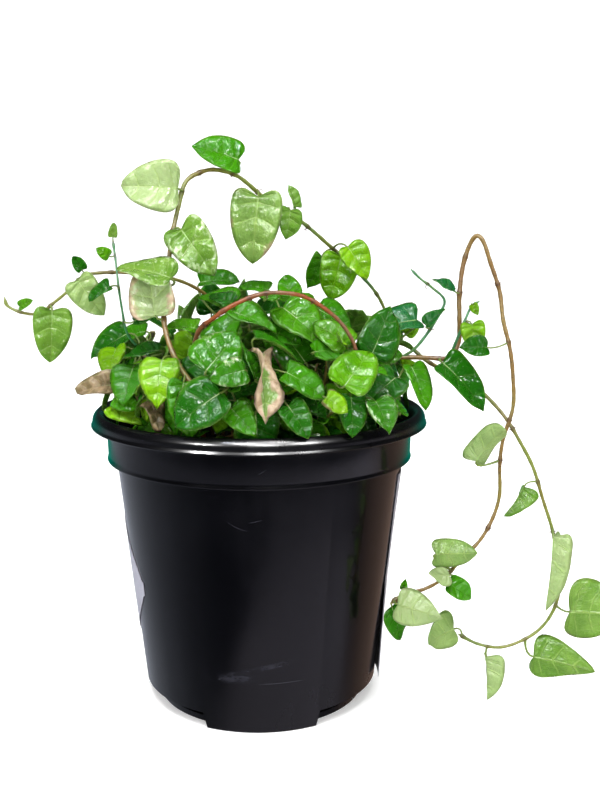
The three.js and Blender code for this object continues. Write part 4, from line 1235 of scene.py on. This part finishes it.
solid_points, solid_faces = [], []
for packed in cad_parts.values():
    first = len(solid_points)
    solid_points += [vertex.co / MM for vertex in packed.data.vertices]
    solid_faces += [[first + v for v in face.vertices] for face in packed.data.polygons]
taken = [BVHTree.FromPolygons(solid_points, solid_faces)]


def young_leaves(number, route, count):
    """Small new leaves that fill the gaps round a stem, each where it touches nothing that is there."""
    made = []
    for k in range(count):
        for attempt in range(YOUNG_ATTEMPTS):
            draw = draws_for(number, YOUNG_DRAWS + k, attempt)
            root = route.at(0.3 + 0.7 * draw())
            out_way = Vector((root.x, root.y, 0)).normalized()
            stray = Vector((draw() - 0.5, draw() - 0.5, draw() - 0.5))
            base = root + stray * 10 + out_way * 2
            points = out_way * (0.3 + draw()) + Vector((draw() - 0.5, draw() - 0.5, draw() - 0.7)) * 1.6
            faces = out_way * 0.8 + Vector((draw() - 0.5, draw() - 0.5, 0.4 + 0.6 * draw()))
            long = 7 + 6 * draw()
            placed = blade_frame(
                base, points, faces, long, long * (0.78 + 0.16 * draw()), 0.1 + 0.3 * draw(), 0.2 + 0.5 * draw()
            )
            patch = [
                blade_point(placed, x * np.interp(y, *zip(*OUTLINE_ACROSS)), y, 0)
                for y in (0, 0.25, 0.5, 0.75, 1)
                for x in (-1, -0.5, 0, 0.5, 1)
            ]
            outside = any(
                math.hypot(p.x, p.y) > MAT_RADIUS or p.z < MAT_FLOOR + 3 or (p.z < RIM_CLEAR and math.hypot(p.x, p.y) > 47)
                for p in patch
            )
            quads = [(r * 5 + c, r * 5 + c + 1, r * 5 + c + 6, r * 5 + c + 5) for r in range(4) for c in range(4)]
            sheet_tree = BVHTree.FromPolygons(patch, quads)
            if outside or any(each.overlap(sheet_tree) for each in taken):
                continue
            taken.append(sheet_tree)
            made.append(dressed(placed, YOUNG_LOOKS[int(draw() * len(YOUNG_LOOKS))], draw))
            break
    return made


def hand_grown(number, name, radius, route, leaves, shoots=(), young=0, **looks):
    corners = corners_of(name)
    kept = young_leaves(number, Route(route), young)
    for k, row in enumerate(leaves):
        tries = (hand_leaf(row, draws_for(number, k, n), n) for n in range(ATTEMPTS))
        placed = settled(tries, corners)
        if placed:
            kept.append(dressed(placed, row["look"], draws_for(number, k, 77)))
    grow(name, radius, [Route(points) for points in (route, *shoots)], kept, **looks)


# Tall arch: the oldest long stem, thick and orange-brown. It bends over the front lip, climbs over the
# mat and comes down at the back, with pale leaves that show their undersides.
hand_grown(
    number=0,
    name="tall_arch",
    radius=0.95,
    route=[
      [5, -40, 81], [5, -40, 90], [1, -43, 96], [-5, -45, 100], [-10, -45, 103], [-17, -43, 108],
      [-23, -40, 115], [-27, -36, 124], [-28, -31, 132], [-27, -26, 142], [-26, -23, 151],
      [-24, -19, 161], [-22, -16, 168], [-18, -13, 171], [-13, -11, 172], [-6, -8, 170], [4, -3, 162],
      [13, 1, 157], [24, 7, 148], [35, 13, 138], [41, 17, 131], [45, 20, 123],
    ],
    leaves=[
      leaf([-24, -20, 166], [-175, 5], [-90, 10], 17.5, 16, look="cream"),
      leaf([-6, -11, 175], [-160, 20], [-80, 25], 15, 12.5, look="mid"),
      leaf([-23, -25, 154], [-25, -50], [-85, 5], 17, 13.5, look="variegated"),
      leaf([0, -9, 164], [-115, -75], [-95, 0], 21, 16.5, look="scorched_sage"),
      leaf([10, -5, 160], [-100, -75], [-60, 0], 9.5, 9, look="sage"),
      leaf([12, -1, 161], [180, 80], [-40, 10], 7.5, 6, look="sage"),
      leaf([27, 4, 145], [-135, -70], [-85, 15], 14.5, 13, look="vivid"),
      leaf([21, 9, 145], [-170, -70], [-60, 10], 12, 9, look="bright"),
      leaf([28, 3, 148], [-10, -55], [-80, 10], 13, 11, look="lime"),
      leaf([-30, -35, 129], [125, 72], [-95, 5], 17, 14, look="blush"),
      leaf([-25, -33, 138], [172, 18], [-85, 50], 17.5, 14, look="variegated"),
    ],
    ruddy=(0.62, 0.12), slot="trailing_foliage", tufts=0.35, fine=True,
)


# Left runner: an olive stem with reddish joints that reaches out level to the left and ends in a young
# shoot with folded small leaves.
hand_grown(
    number=1,
    name="left_runner",
    radius=0.75,
    route=[
      [-6, 4, 81], [-6, 4, 90], [-7, 3, 103], [-8, 1, 115], [-9, -2, 125], [-16, -8, 133],
      [-24, -13, 138], [-33, -16, 140], [-41, -18, 141], [-48, -20, 141], [-53, -21, 140],
      [-57, -22, 136], [-62, -22, 132], [-66, -22, 129], [-71, -21, 129], [-76, -20, 131],
      [-77, -20, 134],
    ],
    leaves=[
      leaf([-53, -22, 142], [180, 60], [-80, 20], 5, 4, look="deep"),
      leaf([-54, -24, 139], [-15, -55], [-95, 0], 13, 10, look="cream"),
      leaf([-62, -24, 130], [-95, -80], [-70, 0], 16, 12, look="sage"),
      leaf([-72, -22, 131], [-15, 30], [-90, 30], 4.5, 3.5, look="fresh"),
    ],
    ruddy=(0.5, 0.3), slot="trailing_foliage", tufts=0.2, fine=True,
)


# Thin shoot: a young blue-green shoot that stands nearly upright at the left, with small new leaves.
hand_grown(
    number=2,
    name="thin_shoot",
    radius=0.55,
    route=[
      [-26, -14, 81], [-26, -14, 90], [-28, -15, 102], [-32, -19, 113], [-38, -23, 120], [-40, -25, 124],
      [-41, -25, 130], [-42, -24, 137], [-43, -21, 144], [-44, -19, 151],
    ],
    leaves=[
      leaf([-44, -19, 151.5], [0, 85], [-90, 0], 4.5, 3, look="sage"),
      leaf([-45, -21, 146], [-160, 35], [-90, 20], 4.5, 4, look="fresh"),
      leaf([-44, -28, 137], [-175, -25], [-80, 60], 8, 7, look="deep"),
      leaf([-37, -27, 127], [0, 25], [-60, 60], 8.5, 6.5, look="deep"),
    ],
    ruddy=(0.05, -0.05), slot="mat_foliage",
)


# Red arch: a bare old red-brown stem that bows low over the front of the mat and dives back into it.
hand_grown(
    number=3,
    name="red_arch",
    radius=0.95,
    route=[
      [-18, -16, 81], [-18, -16, 90], [-19, -22, 103], [-20, -29, 113], [-18, -36, 124],
      [-13, -40, 129], [-7, -42, 133], [1, -42, 136], [9, -41, 136], [15, -39, 134], [22, -38, 129],
      [26, -38, 124], [28, -38, 119], [26, -38, 115], [23, -38, 111],
    ],
    leaves=[
      leaf([-7, -34, 130], [-20, -15], [-85, 65], 14, 11, look="mid"),
      leaf([2, -36, 134], [60, 20], [-80, 60], 8, 6.5, look="mid"),
    ],
    ruddy=(0.95, 0.9), slot="mat_foliage", tufts=0.3,
)


# Big arch: a long red-brown stem that leaves the mat to the right, rises to a sharp bend and trails down
# beside the pot. Two side shoots with small leaves grow from it.
hand_grown(
    number=4,
    name="big_arch",
    radius=0.95,
    route=[
      [24, -8, 81], [24, -8, 90], [25, -9, 101], [30, -12, 109], [38, -13, 113], [45, -14, 114],
      [53, -15, 114], [60, -15, 114], [63, -14, 119], [63, -14, 127], [63, -13, 133], [64, -12, 142],
      [66, -12, 149], [68, -13, 152], [70, -14, 150], [72, -15, 144], [75, -16, 135], [76, -18, 126],
      [78, -20, 117], [79, -21, 108], [79, -22, 99], [76, -23, 89], [75, -24, 81], [75, -25, 72],
      [73, -26, 65], [69, -27, 58], [63, -28, 52], [57, -29, 46], [51, -30, 43], [45, -31, 42],
      [40, -32, 39],
    ],
    shoots=[
      [[45, -14, 114], [49, -15, 117], [53, -15, 122], [56, -15, 127], [58, -15, 132], [54, -15, 136],
        [50, -15, 139], [47, -15, 142]],
      [[60, -15, 114], [62, -18, 121], [64, -18, 126], [66, -17, 130], [69, -16, 132]],
    ],
    leaves=[
      leaf([67, -26, 83], [-10, 62], [100, 0], 16, 10, 30, 50, look="pale"),
      leaf([54, -32, 55], [8, 0], [95, -10], 13, 9.5, look="mint"),
      leaf([58, -34, 49], [-165, 5], [80, -45], 8, 7, look="pale"),
      leaf([57, -31, 46], [-5, -25], [-90, 50], 9, 7.5, look="mid"),
      leaf([44, -32, 44], [-55, 70], [-90, 0], 3.5, 2.5, look="fresh"),
      leaf([42, -35, 40], [-5, -15], [90, -10], 14.5, 12, look="pale"),
      leaf([41, -29, 37], [0, -70], [-60, -10], 13, 9, look="mid"),
      leaf([52, -15, 122], [-10, 42], [-90, 65], 8.5, 5.5, look="teal"),
      leaf([61, -15, 135], [180, 38], [-90, 70], 8, 6, look="teal"),
      leaf([66, -19, 125], [-60, -75], [-100, 10], 9, 8, look="lime"),
      leaf([71, -21, 117], [-170, 10], [-90, 40], 9.5, 8, look="deep"),
      leaf([66, -19, 131], [0, -60], [-90, 0], 4, 3, look="lime"),
      leaf([57, -18, 113], [-20, -40], [-60, 25], 21, 14.5, 20, 30, look="deep"),
    ],
    ruddy=(0.72, 0.44), slot="trailing_foliage", tufts=0.4, fine=True,
)


# Second trail: a tan stem that follows the big arch outwards, hangs down and turns up again near the
# ground, with large pale leaves seen from below.
hand_grown(
    number=5,
    name="second_trail",
    radius=0.8,
    route=[
      [31, 6, 81], [31, 6, 90], [32, 6, 102], [35, 4, 112], [43, 0, 117], [49, -3, 116], [54, -5, 112],
      [61, -6, 108], [68, -8, 105], [74, -10, 100], [79, -14, 94], [83, -17, 87], [87, -19, 79],
      [90, -21, 69], [93, -23, 59], [94, -25, 50], [95, -26, 41], [93, -27, 34], [89, -27, 28],
      [83, -27, 24], [76, -27, 22], [69, -26, 23], [63, -25, 26],
    ],
    leaves=[
      leaf([84, -20, 73], [-165, -65], [20, 10], 11.5, 11, 35, look="sage"),
      leaf([91, -31, 60], [-100, -87], [20, 0], 24, 12, 50, 10, look="pale"),
      leaf([98, -28, 34], [0, 0], [95, 10], 20, 22, look="spotted_mint"),
      leaf([87, -28, 19], [-5, -8], [95, 5], 19.5, 14.5, look="sage"),
      leaf([72, -27, 19], [-25, -78], [30, 0], 14, 11.5, 30, look="pale"),
      leaf([61, -28, 29], [-160, -15], [90, 5], 11, 13, look="mint"),
      leaf([65, -10, 106], [-30, -50], [-90, 10], 5.5, 4, look="lime"),
    ],
    ruddy=(0.4, 0.25), slot="trailing_foliage", tufts=0.2, fine=True,
)


# Front stems: short stems in the front of the mat. They grow up out of the soil and carry the leaves that
# show from the front: a wet-looking heap of deep and bright green, with a few spoiled by drought.
front_stems = [
    dict(
      route=[[-24, -4, 81], [-24, -4, 92], [-28, -6, 104], [-33, -8, 111], [-38, -9, 115]],
      leaves=[
        leaf([-42, -4, 121], [-170, -25], [-110, 45], 15, 12, look="deep"),
        leaf([-37, 2, 121], [170, -10], [-130, 60], 13, 11, look="mid"),
        leaf([-30, -27, 118], [175, 0], [-100, 65], 12, 10, look="deep"),
        leaf([-45, -12, 117], [-110, -45], [-120, 35], 12, 10, look="lime"),
        leaf([-45, -22, 107], [-165, 0], [-110, 30], 12, 9, 30, 50, look="crumpled"),
      ],
    ),
    dict(
      route=[[-29, -24, 81], [-29, -24, 90], [-32, -27, 97], [-35, -30, 102], [-37, -31, 106]],
      leaves=[
        leaf([-38, -26, 113], [-110, -45], [-110, 35], 13, 12, look="mid"),
        leaf([-43, -28, 104], [-30, -10], [-115, 40], 10, 8, look="bright"),
        leaf([-42, -26, 100], [-42, -8], [-110, 50], 14, 11, look="lime"),
        leaf([-32, -37, 104], [-60, -40], [-60, 35], 10, 8, look="withered"),
      ],
    ),
    dict(
      route=[[-19, -27, 81], [-19, -27, 92], [-21, -30, 103], [-22, -33, 110], [-22, -34, 115]],
      leaves=[
        leaf([-28, -40, 117], [-105, -60], [-100, 25], 14.5, 12.5, look="lime"),
        leaf([-22, -43, 111], [-110, -60], [-80, 20], 13, 10, 30, look="mid"),
        leaf([-17, -30, 122], [150, 25], [-100, 50], 12, 11, look="bright"),
      ],
    ),
    dict(
      route=[[-8, -33, 81], [-8, -33, 92], [-9, -37, 100], [-10, -40, 106], [-9, -42, 110]],
      leaves=[
        leaf([-15, -49, 115], [30, 45], [-95, 25], 15, 15.5, 8, 12, look="frosted"),
        leaf([-6, -45, 113], [-170, -15], [-95, 45], 12, 10, look="speckled"),
        leaf([-11, -51, 109], [-165, -30], [-95, 30], 16, 14.5, look="deep"),
        leaf([-8, -48, 104], [-40, -35], [-95, 35], 11, 9, look="mid"),
      ],
    ),
    dict(
      route=[[-12, -8, 81], [-12, -8, 92], [-13, -9, 105], [-13, -11, 118], [-12, -13, 127]],
      leaves=[
        leaf([-19, 0, 137], [0, 10], [-90, 60], 13, 10, look="mid"),
        leaf([-7, -18, 132], [170, 15], [-95, 60], 13, 11, look="mid"),
        leaf([-9, -22, 133], [150, 35], [-100, 45], 10, 8, look="deep"),
      ],
    ),
    dict(
      route=[[8, -14, 81], [8, -14, 92], [8, -16, 105], [7, -19, 117], [6, -22, 125]],
      leaves=[
        leaf([10, -12, 133], [110, 60], [-90, 30], 9, 8, look="mid"),
        leaf([3, -8, 135], [170, 15], [-90, 65], 10, 9, look="mid"),
        leaf([7, -29, 131], [-30, -30], [-80, 45], 18, 15, look="bright"),
        leaf([2, -33, 125], [-15, -15], [-80, 45], 12, 11, look="mid"),
      ],
    ),
    dict(
      route=[[4, -27, 81], [4, -27, 92], [4, -33, 102], [4, -37, 109], [2, -39, 114]],
      leaves=[
        leaf([0, -46, 119], [-70, -65], [-40, 15], 20, 11, 40, 10, look="bleached"),
        leaf([-1, -46, 113], [110, 60], [-30, 10], 13, 9, look="mid"),
        leaf([-2, -42, 120], [0, -10], [-85, 80], 18, 9, 20, 40, look="mid"),
        leaf([8, -50, 105], [-40, -45], [-80, 35], 11, 9, look="deep"),
        leaf([6, -46, 112], [-10, -25], [-85, 55], 14, 11, look="mid"),
      ],
    ),
    dict(
      route=[[17, -33, 81], [17, -33, 92], [19, -37, 98], [22, -40, 102], [26, -41, 104]],
      leaves=[
        leaf([12, -50, 105], [-5, -25], [-80, 60], 13, 11, look="mid"),
        leaf([18, -50, 107], [-10, -30], [-80, 35], 8, 7, look="spotted_lime"),
        leaf([26, -46, 107], [-80, -65], [-75, 20], 12, 9.5, look="deep"),
        leaf([32, -44, 104], [-50, -50], [-65, 35], 11, 11, look="speckled"),
      ],
    ),
    dict(
      route=[[18, -22, 81], [18, -22, 92], [19, -26, 103], [20, -29, 112], [20, -32, 118]],
      leaves=[
        leaf([24, -47, 110], [35, 45], [-80, 30], 15, 13.5, look="bright"),
        leaf([16, -40, 119], [10, 5], [-85, 60], 12, 10, look="mid"),
        leaf([18, -24, 130], [-20, -25], [-75, 50], 13, 12, look="mid"),
      ],
    ),
    dict(
      route=[[32, -22, 81], [32, -22, 91], [35, -25, 98], [38, -28, 103], [41, -29, 105]],
      leaves=[
        leaf([41, -30, 110], [-150, -30], [-70, 45], 14, 12, look="deep"),
        leaf([36, -33, 105], [-50, -45], [-60, 30], 10, 8.5, look="deep"),
        leaf([47, -21, 112], [-45, -55], [-50, 25], 14.5, 11, look="mid"),
      ],
    ),
    dict(
      route=[[33, -3, 81], [33, -3, 92], [36, -4, 103], [39, -5, 111], [42, -6, 117]],
      leaves=[
        leaf([51, -5, 125], [-170, -5], [-75, 55], 17, 14, look="teal"),
        leaf([46, -3, 122], [10, 50], [-75, 30], 9, 9, look="lime"),
        leaf([41, -19, 118], [-160, -30], [-70, 40], 12, 11, look="speckled"),
      ],
    ),
]
for k, stem in enumerate(front_stems):
    hand_grown(
        6 + k, f"front_stem_{k + 1}", 0.7, stem["route"], stem["leaves"], young=9, ruddy=(0.6, 0.3), slot="mat_foliage"
    )


# The mat: short stems all round that bow outwards and overlap, so that their leaves make one low cushion
# over the soil. The first ones keep low along the lip and hang their leaves outwards.
MAT_STEMS = 30
RIM_STEMS = 9
BACK_ARC = 235
GOLDEN = 0.618034
RIM_LEAF_HEIGHT = 103
MAT_HEIGHT = 46
ROOT_DEPTH = 5
LEAF_LENGTH = 16.5
FIRST_NODE = 14
NODE_SPACING = 6.5
HAND_PLACED = 17
MAT_LOOKS = ["deep"] * 8 + ["mid"] * 7 + ["bright"] * 4 + ["speckled"] * 2 + ["lime", "teal", "scorched", "fresh"]
UP = Vector((0, 0, 1))


def mat_normal(p):
    return Vector(
        (p.x / MAT_RADIUS**2, p.y / MAT_RADIUS**2, max(0, p.z - MAT_FLOOR) / MAT_HEIGHT**2)
    ).normalized()


def mat_route(index, draw):
    low = index < RIM_STEMS
    share = (index - RIM_STEMS + 0.5) / (MAT_STEMS - RIM_STEMS)
    arc = BACK_ARC + (360 - BACK_ARC) * share
    around = index * GOLDEN % 1 - 0.5
    turn = (index * 360 / RIM_STEMS if low else 90 + arc * around) + 20 * (draw() - 0.5)
    climb = math.radians(12) if low else math.asin(0.25 + 0.75 * share) * (0.93 + 0.14 * draw())
    depth = 6 + 4 * draw()
    reach = (MAT_RADIUS - depth) * math.cos(climb)
    top = MAT_FLOOR + 6 + (MAT_HEIGHT - depth - 6) * math.sin(climb)
    start = min(37, reach * (0.5 + 0.3 * draw()) + 2)
    sway = 34 + 10 * draw() if low else 30 * (draw() - 0.5)

    def at(r, bend, z):
        angle = math.radians(turn + bend)
        return (r * math.cos(angle), r * math.sin(angle), z)

    ground = soil_height(start)
    rise = max(top - ground, 10)
    return Route(
        [
            at(start, 0, ground - ROOT_DEPTH),
            at(start, 0, ground + 3),
            at(start + (reach - start) * 0.35, sway * 0.3, ground + rise * 0.5),
            at(start + (reach - start) * 0.7, sway * 0.7, ground + rise * 0.85),
            at(reach, sway, ground + rise),
        ]
    )


def mat_leaf(route, u, index, draw, attempt):
    """A leaf on one side of the stem or the other; after several misses it is drawn smaller."""
    at, run_way = route.at(u), route.way(u)
    out_way = mat_normal(at)
    flank = out_way.cross(run_way).normalized() * (1 if index % 2 else -1)
    low = at.z < RIM_LEAF_HEIGHT
    ends = u > 0.97 and not low
    base, points, faces = at.copy(), Vector(), out_way.copy()
    if low:
        base += UP * (7 + 9 * draw())
        base += out_way * (1 + 3 * draw())
        base += flank * (2 + 7 * draw())
        points += out_way * (0.1 + 0.4 * draw()) + UP * (-0.9 + 0.5 * draw())
        points += flank * (draw() - 0.3)
        faces += UP * 0.3
    else:
        base += out_way * (1 + draw() if ends else 3.5 + 4 * draw())
        base += flank * (draw() if ends else 2 + 3 * draw())
        base += run_way * (2.5 if ends else 2.5 * draw())
        points += run_way * (1 if ends else 0.2 + 0.7 * draw())
        points += flank * (0.3 if ends else 0.5 + 0.6 * draw())
        points += out_way * (-0.25 + 0.5 * draw())
    faces += Vector((draw() - 0.5, draw() - 0.5, draw() - 0.5)) * 0.9
    shrink = 0.62 if attempt > 40 else 0.8 if attempt > 22 else 1
    long = LEAF_LENGTH * (0.82 + 0.3 * draw()) * (0.7 if ends else 1) * shrink
    wide = long * (0.82 + 0.14 * draw())
    return blade_frame(
        base, points, faces, long, wide, math.radians(6 + 16 * draw()), math.radians(10 + 30 * draw())
    )


for index in range(MAT_STEMS):
    name = f"mat_stem_{index + 1}"
    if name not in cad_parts:
        continue
    corners = corners_of(name)
    number = HAND_PLACED + index
    for attempt in range(ATTEMPTS):
        route = mat_route(index, draws_for(number, 99, attempt))
        near = corners.find_range(route.point(1), 0.71)
        ring_points = {tuple(round(c, 1) for c in place) for place, _, far in near if far > 0.69}
        if len(ring_points) >= 4:
            break
    kept = []
    for k in range(math.ceil((route.length + NODE_SPACING - FIRST_NODE) / NODE_SPACING)):
        u = min(1, (FIRST_NODE + k * NODE_SPACING) / route.length)
        tries = (mat_leaf(route, u, k, draws_for(number, k, n), n) for n in range(ATTEMPTS))
        placed = settled(tries, corners)
        if placed:
            draw = draws_for(number, k, 77)
            look = MAT_LOOKS[int(draw() * len(MAT_LOOKS))]
            kept.append(dressed(placed, look, draw))
    kept += young_leaves(number, route, 3)
    ripe = 0.4 + 0.05 * (index % 7)
    grow(name, 0.7, [route], kept, ruddy=(ripe, ripe - 0.3), slot="mat_foliage")
